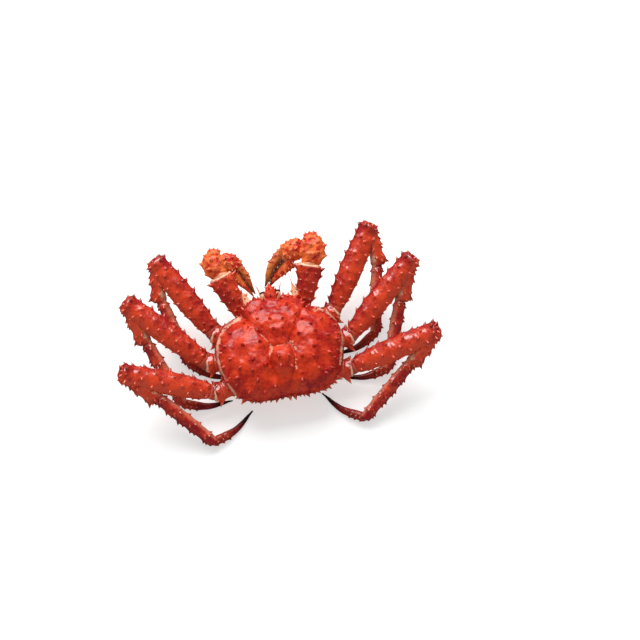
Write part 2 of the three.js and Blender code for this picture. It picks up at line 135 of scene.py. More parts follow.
class Build:
    """Collects surfaces with their marks, and makes them one object."""

    def __init__(self):
        self.points, self.quads, self.tris = [], [np.zeros((0, 4), int)], [np.zeros((0, 3), int)]
        self.marks = {mark: [] for mark in MARKS}
        self.count = 0

    def add(self, points, quads, tris, tip=0.0, pale=0.0, dark=0.0, warm=EVEN):
        points = points.reshape(-1, 3)
        self.points.append(points)
        self.quads.append(quads + self.count)
        self.tris.append(tris + self.count)
        for mark, value in zip(MARKS, (tip, pale, dark, warm)):
            self.marks[mark].append(np.broadcast_to(value, len(points)))
        self.count += len(points)

    def tube(self, rows, first, last, pale=0.0, dark=0.0, warm=EVEN):
        """Adds a grid that wraps round, closed by its first and last points."""
        ends = []
        for value in (pale, dark, warm):
            value = np.broadcast_to(value, rows.shape[:2]).ravel()
            ends.append(np.concatenate([value[:1], value, value[-1:]]))
        points = np.vstack([first[None], rows.reshape(-1, 3), last[None]])
        self.add(points, *tube_faces(*rows.shape[:2]), 0.0, *ends)

    def piece(self, name, material, slot, *nodes):
        """Makes the object, which stands for the nodes named. What would reach below the floor rests
        on it, pressed flat."""
        points = np.vstack(self.points) * MM
        points[:, 2] = np.maximum(points[:, 2], 0.0)
        quads, tris = np.vstack(self.quads), np.vstack(self.tris)
        starts = np.concatenate([np.arange(len(quads)) * 4, quads.size + np.arange(len(tris)) * 3])
        mesh = bpy.data.meshes.new(name)
        mesh.vertices.add(len(points))
        mesh.vertices.foreach_set("co", points.ravel())
        mesh.loops.add(quads.size + tris.size)
        mesh.loops.foreach_set("vertex_index", np.concatenate([quads.ravel(), tris.ravel()]))
        mesh.polygons.add(len(starts))
        mesh.polygons.foreach_set("loop_start", starts)
        mesh.polygons.foreach_set("use_smooth", np.ones(len(starts), bool))
        mesh.update(calc_edges=True)
        for mark, values in self.marks.items():
            layer = mesh.attributes.new(mark, "FLOAT", "POINT")
            layer.data.foreach_set("value", np.concatenate(values).astype(np.float32))
        mesh.materials.append(material)
        piece = bpy.data.objects.new(name, mesh)
        bpy.context.scene.collection.objects.link(piece)
        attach(piece, "root")
        if nodes:
            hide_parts(*nodes)


# Spines

# Rings of a spine: how far each is up it and how wide, for a spine of height and radius one
RING_RISE = np.array([-0.3, 0, 0.1, 0.24, 0.42, 0.62, 0.82, 0.95])
RING_WIDTH = np.array([1.5, 1.16, 0.97, 0.8, 0.63, 0.45, 0.25, 0.11])
HOOK_POWER = 1.6
POINT_SHADE = 1.4

# A spine is taller than this, and a pimple is lower
PIMPLE_LIMIT = 1.5


def add_spines(build, feet, normals, leans, heights, radii, sides=9, lean=0.55, pale=0.0, dark=0.0,
               warm=EVEN):
    """Adds hooked spines. Each middle line rises along the skin's normal and bends over by lean times
    height times rise^HOOK_POWER, and its rings narrow on the hollow curve of RING_WIDTH, so that the
    foot runs out into the skin. A spine darkens from its foot to its point."""
    count = len(feet)
    if count == 0:
        return
    normals = unit(normals)
    heights = np.broadcast_to(heights, count)[:, None, None]
    radii = np.broadcast_to(radii, count)[:, None, None, None]
    along = unit(leans - normals * (leans * normals).sum(-1, keepdims=True))
    across = np.cross(normals, along)
    angle = turns(sides)
    rise = RING_RISE[None, :, None]
    bend = lean * np.sign(rise) * np.abs(rise) ** HOOK_POWER
    middle = feet[:, None] + heights * (rise * normals[:, None] + bend * along[:, None])
    ring = np.cos(angle)[:, None] * along[:, None] + np.sin(angle)[:, None] * across[:, None]
    rows = middle[:, :, None] + radii * RING_WIDTH[:, None, None] * ring[:, None]
    tip = feet[:, None] + heights * (normals[:, None] + lean * along[:, None])
    points = np.concatenate([middle[:, :1], rows.reshape(count, -1, 3), tip], 1)
    quads, tris = tube_faces(len(RING_RISE), sides)
    each = points.shape[1]
    offsets = (np.arange(count) * each)[:, None, None]
    climb = np.concatenate([[0], np.repeat(np.clip(RING_RISE, 0, 1), sides), [1]])
    climb = np.tile(climb, count)
    pale, dark, warm = (np.repeat(np.broadcast_to(mark, count), each) for mark in (pale, dark, warm))
    build.add(points, (quads + offsets).reshape(-1, 4), (tris + offsets).reshape(-1, 3),
              climb, pale, dark * np.minimum(POINT_SHADE * climb, 1), warm)


def swelling(points, feet, heights, spreads):
    """How far the skin swells under spines: a bell of its own height and spread round each foot."""
    lift = np.zeros(points.shape[:-1])
    for foot, height, spread in zip(feet, heights, spreads):
        lift += height * bell(np.linalg.norm(points - foot, axis=-1), spread)
    return lift


def foot_radius(height):
    """Radius of the foot of a limb's spine or pimple, for its height."""
    return np.where(np.asarray(height) > PIMPLE_LIMIT, 0.4 * height + 1.0, 0.5 * height + 0.3)


# Limbs

# How far the skin of a limb swells under a spine, as shares of the spine's height and of its foot's
# radius, and how far the foot stands out of the bare skin
SWELL_RISE = 0.3
SWELL_SPREAD = 1.3
FOOT_RISE = 0.18

# Lengths of the two ripples of a limb's skin, and the height of the second beside the first
LONG_RIPPLE = 12
SHORT_RIPPLE = 4.5
SHORT_SHARE = 0.35


class Limb:
    """A tube of oval section along a smooth path. The hinge is the direction across the limb about
    which it bends. Round the section, 0 degrees faces along the hinge, 90 is the crest, on the outer
    side of the bend, and 270 the keel, on its inner side."""

    def __init__(self, path, hinge, width, crest, keel):
        self.path = np.asarray(path, float)
        before, after = 2 * self.path[0] - self.path[1], 2 * self.path[-1] - self.path[-2]
        self.padded = np.vstack([before, self.path, after])
        self.hinge = np.asarray(hinge, float)
        self.width, self.crest, self.keel = width, crest, keel
        self.length = np.linalg.norm(np.diff(self.at(np.linspace(0, 1, 60)), axis=0), axis=-1).sum()

    def at(self, t):
        return through(self.path, t, self.padded)

    def frames(self, t):
        step = 1e-3
        t = np.asarray(t, float)
        tangent = unit(self.at(np.minimum(t + step, 1)) - self.at(np.maximum(t - step, 0)))
        side = unit(self.hinge - tangent * (tangent @ self.hinge)[..., None])
        return self.at(t), tangent, np.cross(tangent, side), side

    def depth(self, t, angle):
        """Half-depth of the section, from the keel's to the crest's as the angle turns."""
        up = smoothstep(-0.4, 0.4, np.sin(angle))
        return up * through(self.crest, t) + (1 - up) * through(self.keel, t)

    def point(self, t, angle, share=1.0, shift=0.0):
        """A point of the section's oval at t, shrunk to a share and moved along the limb."""
        t, angle, share, shift = np.broadcast_arrays(t, angle, share, shift)
        centre, tangent, back, side = self.frames(t)
        across = through(self.width, t) * np.cos(angle) * share
        up = self.depth(t, angle) * np.sin(angle) * share
        return centre + side * across[..., None] + back * up[..., None] + tangent * shift[..., None]

    def foot(self, t, degrees):
        """Foot, outward normal and direction towards the limb's far end."""
        t, angle = np.asarray(t, float), np.radians(degrees)
        _, tangent, back, side = self.frames(t)
        normal = unit(side * (np.cos(angle) / through(self.width, t))[..., None]
                      + back * (np.sin(angle) / self.depth(t, angle))[..., None])
        return self.point(t, angle), normal, tangent


def row(degrees, count, start, end, height):
    """A row of spines: its place round the limb, how many, from where to where, and how tall."""
    places = np.linspace(start, end, count) if count > 1 else [start]
    return [(place, degrees, height) for place in places]


def wreath(place, *spines):
    """Rows of one spine each round the limb at a place, from the turn and height of each."""
    return [(degrees, 1, place, place, height) for degrees, height in spines]


def placed_spines(limb, spines, pimples, pimple_height, seed):
    """Place, turn and height of each spine of a segment, a little off its row, and then those of the
    pimples strewn between them."""
    draw = np.random.default_rng(seed)
    place, degrees, height = np.array(list(spines) or [(0.5, 0, 0)]).T
    place = np.clip(place + draw.uniform(-1.3, 1.3, len(place)) / limb.length, 0.01, 0.99)
    degrees = degrees + draw.uniform(-5, 5, len(place))
    height = height * draw.uniform(0.85, 1.12, len(place))
    if pimples:
        place = np.concatenate([place, draw.uniform(0.04, 0.96, pimples)])
        degrees = np.concatenate([degrees, draw.uniform(-30, 210, pimples)])
        height = np.concatenate([height, pimple_height * draw.uniform(0.5, 1.2, pimples)])
    return place, degrees, height


def end_rows(kind, depth, far):
    """Rows that close an end of a limb, as a share of its section and a shift along it. A dome is a
    quarter of an oval turned round. A socket has a rounded lip and a hollow behind it."""
    if kind == "dome":
        turn = np.linspace(0.1, 1, 10)[:-1] * math.pi / 2
        share, shift = np.sin(turn), depth * np.cos(turn)
    else:
        share = np.array([0.3, 0.6, 0.76, 0.84, 0.88, 0.92, 0.96, 0.99])
        shift = np.array([-depth, -0.9 * depth, -0.6 * depth, -0.8, 0.4, 0.9, 1.0, 0.6])
    return (share[::-1], shift[::-1]) if far else (share, -shift)


def end_point(limb, end, kind, depth):
    """The point that closes an end of a limb: out on its dome, or down in its socket."""
    outwards = limb.frames(float(end))[1] * (1 if end else -1)
    return limb.at(end) + outwards * (depth if kind == "dome" else -depth)


def even_warmth(t, angle):
    """The same mix of red and orange all over."""
    return EVEN + 0 * t * angle


def add_limb(build, limb, spines=(), rows=110, columns=90, near=("dome", 3), far=("dome", 3),
             relief=0.22, seed=1, spots=(), under=0.5, rims=(0, 0), girdles=(), lean=0.6, dark=None,
             warm=even_warmth, pimples=0, pimple_height=0.7, tip_dark=0.4):
    """Adds one segment. Its skin swells under each spine, carries soft relief and is pressed in by
    girdles of (place, depth, width), and the spines stand on it. The skin is pale on the keel side by
    under, within spots of (place, degrees, radius), and within rims of that length at its two ends.
    dark and warm are functions of the place along and the angle round."""
    near_share, near_shift = end_rows(*near, False)
    far_share, far_shift = end_rows(*far, True)
    share = np.concatenate([near_share, np.ones(rows), far_share])[:, None]
    shift = np.concatenate([near_shift, np.zeros(rows), far_shift])[:, None]
    t = np.concatenate([0 * near_share, np.linspace(0, 1, rows), 0 * far_share + 1])[:, None]
    angle = turns(columns)[None]
    points = limb.point(t, angle, share, shift)
    normals = grid_normals(points)
    along = t * limb.length + shift
    on_body = smoothstep(0.6, 0.99, share)

    place, degrees, height = placed_spines(limb, spines, pimples, pimple_height, seed)
    feet, out, ahead = limb.foot(place, degrees)
    radius = foot_radius(height)
    lift = swelling(points, feet, SWELL_RISE * height, SWELL_SPREAD * radius)
    lift += relief * (ripple(points, LONG_RIPPLE, seed)
                      + SHORT_SHARE * ripple(points, SHORT_RIPPLE, seed + 1))
    paleness = under * smoothstep(-0.15, 0.85, -np.sin(angle)) + 0 * along
    for at, depth, width in girdles:
        lift -= depth * bell(along - at * limb.length, width)
        paleness = np.maximum(paleness, 0.3 * bell(along - at * limb.length, 0.5 * width))
    points = points + normals * (lift * on_body)[..., None]
    for at, turned, size in spots:
        distance = np.linalg.norm(points - limb.foot(at, turned)[0], axis=-1)
        paleness = np.maximum(paleness, 1 - smoothstep(0.6 * size, 1.1 * size, distance))
    for rim, distance in zip(rims, (along, limb.length - along)):
        if rim:
            paleness = np.maximum(paleness, 1 - smoothstep(0.4 * rim, rim, distance))
    darkness = dark(t, angle) if dark else 0.0 * along
    for kind, hollow in ((near[0], t < 0.5), (far[0], t > 0.5)):
        if kind == "socket":
            darkness = np.maximum(darkness, 0.5 * hollow * (1 - smoothstep(0.5, 0.88, share)))
    ends = end_point(limb, 0, *near), end_point(limb, 1, *far)
    build.tube(points, *ends, paleness, darkness, warm(t, angle))

    ground = feet + out * (FOOT_RISE * height)[:, None]
    spine_warmth = warm(place, np.radians(degrees))
    shade = tip_dark * smoothstep(2.2, 3.4, height) * (1 - np.clip(spine_warmth, 0, 1))
    for chosen, sides in ((height > PIMPLE_LIMIT, 10), ((height > 0) & (height <= PIMPLE_LIMIT), 6)):
        add_spines(build, ground[chosen], out[chosen], ahead[chosen], height[chosen], radius[chosen],
                   sides, lean, dark=shade[chosen], warm=spine_warmth[chosen])


# Finishes

# What a finish of boiled shell takes, and what each is unless the finish says otherwise
TONE_COLOURS = {
    "Red": (0.31, 0.003, 0.004), "Orange": (0.64, 0.040, 0.006), "Cream": (0.80, 0.43, 0.26),
    "Brown": (0.07, 0.010, 0.007), "Point": (0.86, 0.36, 0.18),
}
TONE_AMOUNTS = {
    "Blush": 0.5, "Gloss": 0.36, "Point amount": 0.75, "Speck amount": 0.2, "Knobs": 1.2, "Blotch": 0.16,
}


def shell_tones():
    """Node group for the colour, roughness and relief of boiled shell. Three noises mix the red with
    the orange, fine cells add light specks and pits, and the marks lay the cream, the brown and the
    spine tips over them."""
    group = bpy.data.node_groups.new("Shell tones", "ShaderNodeTree")
    for values, kind in ((TONE_COLOURS, "Color"), (TONE_AMOUNTS, "Float")):
        for name, value in values.items():
            socket = group.interface.new_socket(name, in_out="INPUT", socket_type="NodeSocket" + kind)
            socket.default_value = opaque(value)
    for name, kind in (("Color", "Color"), ("Roughness", "Float"), ("Height", "Float")):
        group.interface.new_socket(name, in_out="OUTPUT", socket_type="NodeSocket" + kind)
    net = Net(group)
    given = net.node("NodeGroupInput").outputs
    place = net.node("ShaderNodeTexCoord").outputs["Object"]
    tip, pale, dark, warm = (
        net.node("ShaderNodeAttribute", attribute_name=mark).outputs["Fac"] for mark in MARKS)

    broad = net.noise(place, 60, 3, 0.6)
    knobs = net.noise(place, 170, 2, 0.5)
    fine = net.noise(place, 420, 4, 0.6)
    grain = net.noise(place, 1900, 2, 0.5)
    cells = net.cells(place, 420)
    pits = net.cells(place, 900)

    blush = net.add(
        net.range(broad, 0.3, 0.7, -0.4, 0.4), given["Blush"], net.math("SUBTRACT", warm, EVEN),
        net.range(fine, 0.3, 0.7, -0.27, 0.27),
        net.times(net.range(knobs, 0.3, 0.7, -1, 1), given["Blotch"]))
    colour = net.mix(net.clamp(blush), given["Red"], given["Orange"])
    speck = net.times(net.range(cells, 0.26, 0.06), given["Speck amount"])
    colour = net.mix(speck, colour, given["Point"])
    cream = net.clamp(net.times(pale, net.range(fine, 0.25, 0.6, 0.72, 1.1)))
    colour = net.mix(cream, colour, given["Cream"])
    horn = net.times(net.range(tip, 0.45, 0.9), given["Point amount"])
    colour = net.mix(horn, colour, given["Point"])
    shade = net.clamp(net.times(dark, net.range(fine, 0.25, 0.6, 0.85, 1.1)))
    colour = net.mix(shade, colour, given["Brown"])

    rough = net.add(given["Gloss"], net.range(fine, 0.35, 0.7, -0.05, 0.10), net.times(pale, 0.18))
    bumps = net.add(
        net.times(fine, 0.6), net.times(grain, 0.18), net.times(knobs, given["Knobs"]),
        net.range(cells, 0.34, 0.0, 0.0, 0.7), net.range(pits, 0.0, 0.25, -0.3, 0.0))
    end = net.node("NodeGroupOutput").inputs
    net.link(colour, end["Color"])
    net.link(rough, end["Roughness"])
    net.link(bumps, end["Height"])
    return group


def opaque(value):
    """A colour with its alpha, or a number as it is."""
    return (*value, 1) if isinstance(value, tuple) else value


class Net:
    """Short ways to add nodes to a node tree. A value is a number, a colour or another node's
    output."""

    def __init__(self, tree):
        self.tree = tree

    def link(self, value, socket):
        if isinstance(value, bpy.types.NodeSocket):
            self.tree.links.new(value, socket)
        else:
            socket.default_value = value

    def node(self, kind, inputs=None, **settings):
        node = self.tree.nodes.new(kind)
        for name, value in settings.items():
            setattr(node, name, value)
        for name, value in (inputs or {}).items():
            self.link(value, node.inputs[name])
        return node

    def noise(self, place, scale, detail, roughness):
        inputs = {"Vector": place, "Scale": scale, "Detail": detail, "Roughness": roughness}
        return self.node("ShaderNodeTexNoise", inputs).outputs["Fac"]

    def cells(self, place, scale):
        inputs = {"Vector": place, "Scale": scale, "Randomness": 1}
        return self.node("ShaderNodeTexVoronoi", inputs).outputs["Distance"]

    def math(self, operation, first, second):
        return self.node("ShaderNodeMath", {0: first, 1: second}, operation=operation).outputs[0]

    def add(self, total, *more):
        for value in more:
            total = self.math("ADD", total, value)
        return total

    def times(self, first, second):
        return self.math("MULTIPLY", first, second)

    def clamp(self, value):
        return self.node("ShaderNodeClamp", {"Value": value}).outputs[0]

    def range(self, value, low, high, to_low=0.0, to_high=1.0):
        inputs = {"Value": value, "From Min": low, "From Max": high, "To Min": to_low, "To Max": to_high}
        return self.node("ShaderNodeMapRange", inputs, interpolation_type="SMOOTHSTEP").outputs["Result"]

    def mix(self, share, first, second):
        mix = self.node("ShaderNodeMix", data_type="RGBA", clamp_factor=True)
        sockets = {socket.identifier: socket for socket in mix.inputs}
        self.link(share, sockets["Factor_Float"])
        self.link(first, sockets["A_Color"])
        self.link(second, sockets["B_Color"])
        return next(socket for socket in mix.outputs if socket.identifier == "Result_Color")


RELIEF_DEPTH = 0.0004


def shell_finish(name, bump=0.5, coat=0.4, coat_roughness=0.25, shine=0.22, **values):
    """A material of shell tones with its own values for the group's inputs."""
    material = bpy.data.materials.new(name)
    material.use_nodes = True
    net = Net(material.node_tree)
    shader = net.tree.nodes["Principled BSDF"]
    tones = net.node("ShaderNodeGroup", node_tree=TONES)
    for label, value in values.items():
        tones.inputs[label.replace("_", " ")].default_value = opaque(value)
    relief = net.node("ShaderNodeBump", {"Height": tones.outputs["Height"], "Distance": RELIEF_DEPTH})
    relief.inputs["Strength"].default_value = bump
    net.link(tones.outputs["Color"], shader.inputs["Base Color"])
    net.link(tones.outputs["Roughness"], shader.inputs["Roughness"])
    net.link(relief.outputs["Normal"], shader.inputs["Normal"])
    shader.inputs["Coat Weight"].default_value = coat
    shader.inputs["Coat Roughness"].default_value = coat_roughness
    shader.inputs["Specular IOR Level"].default_value = shine
    return material


TONES = shell_tones()
RED_SHELL = shell_finish(
    "Red back shell", bump=0.6, coat=0.38, coat_roughness=0.24, Blush=0.47, Cream=(0.74, 0.36, 0.23),
    Point=(0.26, 0.005, 0.008), Point_amount=0.45, Gloss=0.4, Knobs=2.6)
LIMB_SHELL = shell_finish(
    "Red limb shell", bump=0.3, coat=1.0, coat_roughness=0.16, shine=0.55, Blush=0.48,
    Orange=(0.68, 0.048, 0.008), Point_amount=0.55, Knobs=0.8)
CLAW_SHELL = shell_finish(
    "Orange claw shell", bump=0.5, coat=0.3, Red=(0.48, 0.010, 0.005), Orange=(0.78, 0.155, 0.034),
    Cream=(0.80, 0.42, 0.17), Brown=(0.04, 0.014, 0.008), Blush=0.58, Speck_amount=0.3, Blotch=0.5)
HORN = shell_finish(
    "Dark horn", bump=0.35, Red=(0.16, 0.005, 0.006), Orange=(0.34, 0.025, 0.010),
    Brown=(0.012, 0.005, 0.004), Speck_amount=0.05, Gloss=0.3)
CLAW_HORN = shell_finish(
    "Golden claw horn", bump=0.6, Red=(0.44, 0.03, 0.008), Orange=(0.68, 0.22, 0.045),
    Cream=(0.74, 0.34, 0.10), Brown=(0.035, 0.010, 0.005), Gloss=0.36)
BELLY = shell_finish(
    "Pale belly shell", bump=0.5, coat=0.2, Red=(0.56, 0.13, 0.05), Orange=(0.72, 0.32, 0.15),
    Gloss=0.4, Speck_amount=0.15)
MOUTH_SHELL = shell_finish(
    "Mouth limb shell", bump=0.5, Red=(0.46, 0.03, 0.012), Orange=(0.72, 0.22, 0.08),
    Point=(0.80, 0.42, 0.18), Gloss=0.38)
TAIL_SHELL = shell_finish(
    "Tail shell", bump=0.5, Red=(0.40, 0.012, 0.008), Orange=(0.66, 0.09, 0.022),
    Cream=(0.80, 0.46, 0.26), Gloss=0.38)
EYE_STALK = shell_finish(
    "Eye stalk", bump=0.2, coat=0.7, Red=(0.72, 0.30, 0.16), Orange=(0.84, 0.52, 0.30),
    Brown=(0.012, 0.006, 0.006), Gloss=0.2, Speck_amount=0.0)
SKIN = shell_finish(
    "Joint skin", bump=0.7, coat=0.3, Red=(0.20, 0.018, 0.022), Orange=(0.42, 0.085, 0.07),
    Gloss=0.35, Speck_amount=0.0)


# Camera: as far away, as high and as far round as the photograph's

CAMERA_PLACE = np.array([-56.96, -597.1, 1421.4])
CAMERA_AIM = np.array([57.48, 26.42, 61.95])
FOCAL_PIXELS = 1159.1
SENSOR = 36.0


def photo_ray(pixel):
    """Direction from the camera through a place in the photograph's frame."""
    ahead = unit(CAMERA_AIM - CAMERA_PLACE)
    right = unit(np.cross(ahead, (0, 0, 1)))
    down = np.cross(ahead, right)
    across, along = (np.asarray(pixel, float) - PHOTO_SIZE / 2).T
    return ahead * FOCAL_PIXELS + right * across[:, None] + down * along[:, None]


# The back shell

SHELL_MIDDLE = 2.0
DOME_TOP = 77.0
DOME_SHARPNESS = 2.6
DOME_ROUNDNESS = 0.55

# Rim of the back shell on the right side, from the beak round to the middle of the hind edge
RIGHT_RIM = np.array([
    [0, 71, 64], [5, 70, 63], [9, 66, 62], [14, 67, 61], [19, 71, 61], [30, 67, 61], [40, 58, 58],
    [42, 51, 53], [51, 53.5, 48], [63, 49, 46], [74, 39, 46], [81.5, 23, 46], [84, 3, 46],
    [81, -17, 45], [75, -34, 44], [65, -50, 42], [49, -60, 41], [27, -63, 40], [0, -62, 40]], float)

# Grooves between the regions of the back, on the right side
GROOVES = [
    [[41, 50], [36, 41], [30, 30.5], [26, 22.5], [22, 14.5], [16, 4.5], [13, -3.7], [15.5, -14],
     [15.5, -26], [11, -39], [6, -54]],
    [[0, -5.5], [8, -5.2], [13, -3.7]],
]
GROOVE_LINES = [through(line, np.linspace(0, 1, 4 * len(line))) for line in GROOVES]
GROOVE_DEPTH = 2.8
GROOVE_WIDTHS = (1.6, 6)

# Lobes of the back: distance from the middle, place along the body, height and spread
LOBES = [(0, 34, 6.6, 16), (47, -2, 6.4, 20), (0, -17, 3.6, 9)]
HEART_RISE = 2.2

# Cream streaks in the grooves and along the edge, as lines in the photograph's own pixels, each with
# its half-width in millimetres
STREAKS_SEEN = [
    ([(253.3, 324.1), (255.5, 326.4)], 0.7), ([(256.3, 328.8), (257.6, 330)], 1.2),
    ([(260.8, 334.7), (267.6, 341.1)], 0.5), ([(270.6, 345.5), (271.5, 351.5)], 1.5),
    ([(270.6, 352), (269.8, 356.5)], 1.0), ([(298, 317.8), (299.5, 315.5)], 0.5),
    ([(296.1, 320), (298, 321.9)], 0.9), ([(295, 326.8), (292.4, 334.3)], 0.8),
    ([(290.7, 341.2), (295.8, 349.3)], 1.0), ([(274.5, 346.5), (280, 345.5), (288, 342.8)], 0.5),
    ([(296.1, 352.3), (296.8, 372)], 0.35),
]
EDGES_SEEN = [
    ([(238.5, 320), (230.5, 323), (224.5, 329)], 3.5), ([(224.5, 329), (220, 337.5), (217.6, 348)], 2.6),
    ([(217.6, 348), (218, 360), (222, 372)], 1.7), ([(222, 372), (229, 385), (236, 396)], 1.0),
    ([(315, 309.5), (320, 309), (326, 312)], 3.2), ([(328, 313.5), (338, 322)], 2.0),
    ([(341, 328), (342.5, 340), (341.5, 352), (340, 364)], 1.2),
]

# Where the photograph shows the spines of the back, in its own pixels
STOMACH_SPINES_SEEN = [
    (270, 318), (282, 318), (259, 319), (273.5, 328), (282, 327), (262, 309), (286, 305), (294, 313),
    (266, 300), (277, 300), (292, 322), (253, 322)]
SHOULDER_SPINES_SEEN = [
    (243, 317), (246, 311), (250, 305), (255, 300), (245, 324), (252, 313), (257, 327), (249, 328),
    (298, 296), (301, 303), (303, 311), (299, 309), (302, 320), (297, 325)]
HEART_SPINES_SEEN = [(279, 354), (288, 353.5), (281, 363), (291, 364)]
LEFT_GILL_SPINES_SEEN = [
    (231, 333), (226, 346), (243, 344), (260, 341), (231, 358), (253, 358), (241, 366), (265, 363),
    (253, 368), (225, 366), (258, 378), (229, 379), (275, 384), (250, 390), (265, 390), (238, 376)]
RIGHT_GILL_SPINES_SEEN = [
    (299, 333), (310, 324), (314, 330), (326, 334), (335, 338), (313, 344), (328, 351), (302, 354),
    (313, 354), (318, 366), (325, 371), (302, 378), (320, 319), (333, 356), (330, 366)]
HIND_TEETH_SEEN = [
    (238, 397), (246, 398), (252, 403), (257, 400), (262, 400), (271, 402), (277, 398), (282, 401),
    (290, 397), (296, 398), (300, 394), (309, 395), (313, 391), (319, 391.5), (325, 389.5), (328, 386),
    (333, 381), (338, 378)]
HIND_EDGE_HEIGHT = 43

# Heights of the spines of the back, and how many low ones lie between the tall ones
STOUT_HEIGHTS = (4.4, 6.2)
HEART_HEIGHTS = (5.4, 6.4)
LOW_HEIGHTS = (0.5, 1.7)
LOW_COUNT = 120

# Radius of a spine's foot on the back, as a share of its height and an amount, how far the skin
# swells under it, and how far the foot stands out of the bare skin
BACK_FOOT = (0.46, 1.1)
BACK_SWELL_RISE = 0.48
BACK_SWELL_SPREAD = 1.5
BACK_FOOT_RISE = 0.2

# Spines of the back above this height have more sides and bend over more
TALL_ON_BACK = 2

# Ripples of the back, as length, height and seed, its more orange patches, as place in plan, spread
# and amount, and how many points its grid has each way
BACK_RIPPLES = [(18, 0.25, 5), (6, 0.13, 6), (2.6, 0.035, 7)]
ORANGE_PATCHES = [(-30, -22, 26, 0.3), (30, -10, 22, 0.2)]
BACK_GRID = 286

# Turns in degrees of the teeth along the sides and the front of the edge. For the hind, side and
# front teeth, the share of the rim's distance where they stand and the range of their heights. The
# two beside the beak are taller, and small teeth are strewn along the hind edge.
SIDE_TEETH = [*range(-34, 46, 9), *range(134, 216, 9)]
FRONT_TEETH = [47, 56, 63, 71, 76.5, 103.5, 109, 117, 124, 133]
TEETH = [(0.998, (4.6, 9.4)), (0.895, (3.6, 5.0)), (0.96, (4.6, 6.2))]
BEAK_TEETH = slice(-6, -4)
BEAK_TEETH_HEIGHT = 7.5
SMALL_TEETH = 26

# Rings of the wall under the rim: share of the rim's distance, and height from the rim
WALL_RINGS = [
    (1.0, -1.5), (0.992, -3.5), (0.975, -6.5), (0.945, -9.5), (0.90, -11.5), (0.82, -12), (0.6, -11)]
SHELL_FLOOR = 31.0


def rim_tables():
    """The rim as its distance from the middle and its height, for each direction in plan."""
    left = RIGHT_RIM[-2:0:-1] * [-1, 1, 1]
    loop = np.vstack([RIGHT_RIM, left])
    closed = np.vstack([loop[-1:], loop, loop[:2]])
    rim = through(loop, np.linspace(0, 1, 3001), closed)[:-1]
    turn = np.arctan2(rim[:, 1] - SHELL_MIDDLE, rim[:, 0])
    order = np.argsort(turn)
    return turn[order], np.hypot(rim[:, 0], rim[:, 1] - SHELL_MIDDLE)[order], rim[order, 2]


RIM_TURN, RIM_REACH, RIM_HEIGHT = rim_tables()
SOFT_TURN = np.linspace(-math.pi, math.pi, 361)
SOFT_WIDTH = 0.2


def rim_at(turn):
    """Distance of the rim from the middle of the shell, and its height."""
    return (np.interp(turn, RIM_TURN, table, period=FULL_TURN) for table in (RIM_REACH, RIM_HEIGHT))


def soft_rim():
    """Distance of the rim, averaged over a range of directions."""
    reach, _ = rim_at(SOFT_TURN)
    apart = np.angle(np.exp(1j * (SOFT_TURN[:, None] - SOFT_TURN)))
    weight = bell(apart, SOFT_WIDTH)
    return weight @ reach / weight.sum(1)


SOFT_REACH = soft_rim()


def in_plan(turn, distance):
    """Place in plan at a turn and a distance from the middle of the shell."""
    return distance * np.cos(turn), SHELL_MIDDLE + distance * np.sin(turn)


def distance_to(x, y, line):
    """Distance in plan from each place to the nearest stretch of a line."""
    nearest = np.full(np.shape(x), np.inf)
    for (ax, ay), (bx, by) in zip(line, line[1:]):
        dx, dy = bx - ax, by - ay
        t = np.clip(((x - ax) * dx + (y - ay) * dy) / (dx * dx + dy * dy), 0, 1)
        nearest = np.minimum(nearest, np.hypot(x - ax - t * dx, y - ay - t * dy))
    return nearest


def back_height(x, y):
    """Height of the back: the dome (1 - share^sharpness)^roundness between its rim and its crown,
    which swells over the lobes and sinks along the grooves."""
    turn = np.arctan2(y - SHELL_MIDDLE, x)
    reach, rim = rim_at(turn)
    distance = np.hypot(x, y - SHELL_MIDDLE)
    share = np.clip(distance / reach, 0, 1)
    outer = smoothstep(0.45, 1, share)
    share = outer * share + (1 - outer) * np.clip(distance / np.interp(turn, SOFT_TURN, SOFT_REACH), 0, 1)
    dome = (1 - share ** DOME_SHARPNESS) ** DOME_ROUNDNESS
    across = np.abs(x)
    crown = DOME_TOP + sum(
        height * bell(np.hypot(across - cx, y - cy), spread) for cx, cy, height, spread in LOBES)
    groove = np.minimum.reduce([distance_to(across, y, line) for line in GROOVE_LINES])
    crown = crown - GROOVE_DEPTH * sum(bell(groove, width) for width in GROOVE_WIDTHS)
    heart = (1 - smoothstep(10, 14, across)) * (1 - smoothstep(-8, -4.5, y)) * smoothstep(-44, -26, y)
    crown = crown + HEART_RISE * heart
    return rim + (crown - rim) * dome


def back_normal(x, y):
    """Upward normal of the back, from the slopes across and along."""
    step = 0.4
    slope_x = (back_height(x + step, y) - back_height(x - step, y)) / (2 * step)
    slope_y = (back_height(x, y + step) - back_height(x, y - step)) / (2 * step)
    return unit(np.stack([-slope_x, -slope_y, np.ones_like(x)], -1))


def places_on_back(pixels, lift=4.0):
    """Places in plan whose point that far above the back shows at the given pixels."""
    ray = photo_ray(pixels)
    height = np.full(len(ray), DOME_TOP)
    for _ in range(40):
        place = CAMERA_PLACE + ray * ((height - CAMERA_PLACE[2]) / ray[:, 2])[:, None]
        height = 0.5 * height + 0.5 * (back_height(place[:, 0], place[:, 1]) + lift)
    return place[:, 0], place[:, 1]


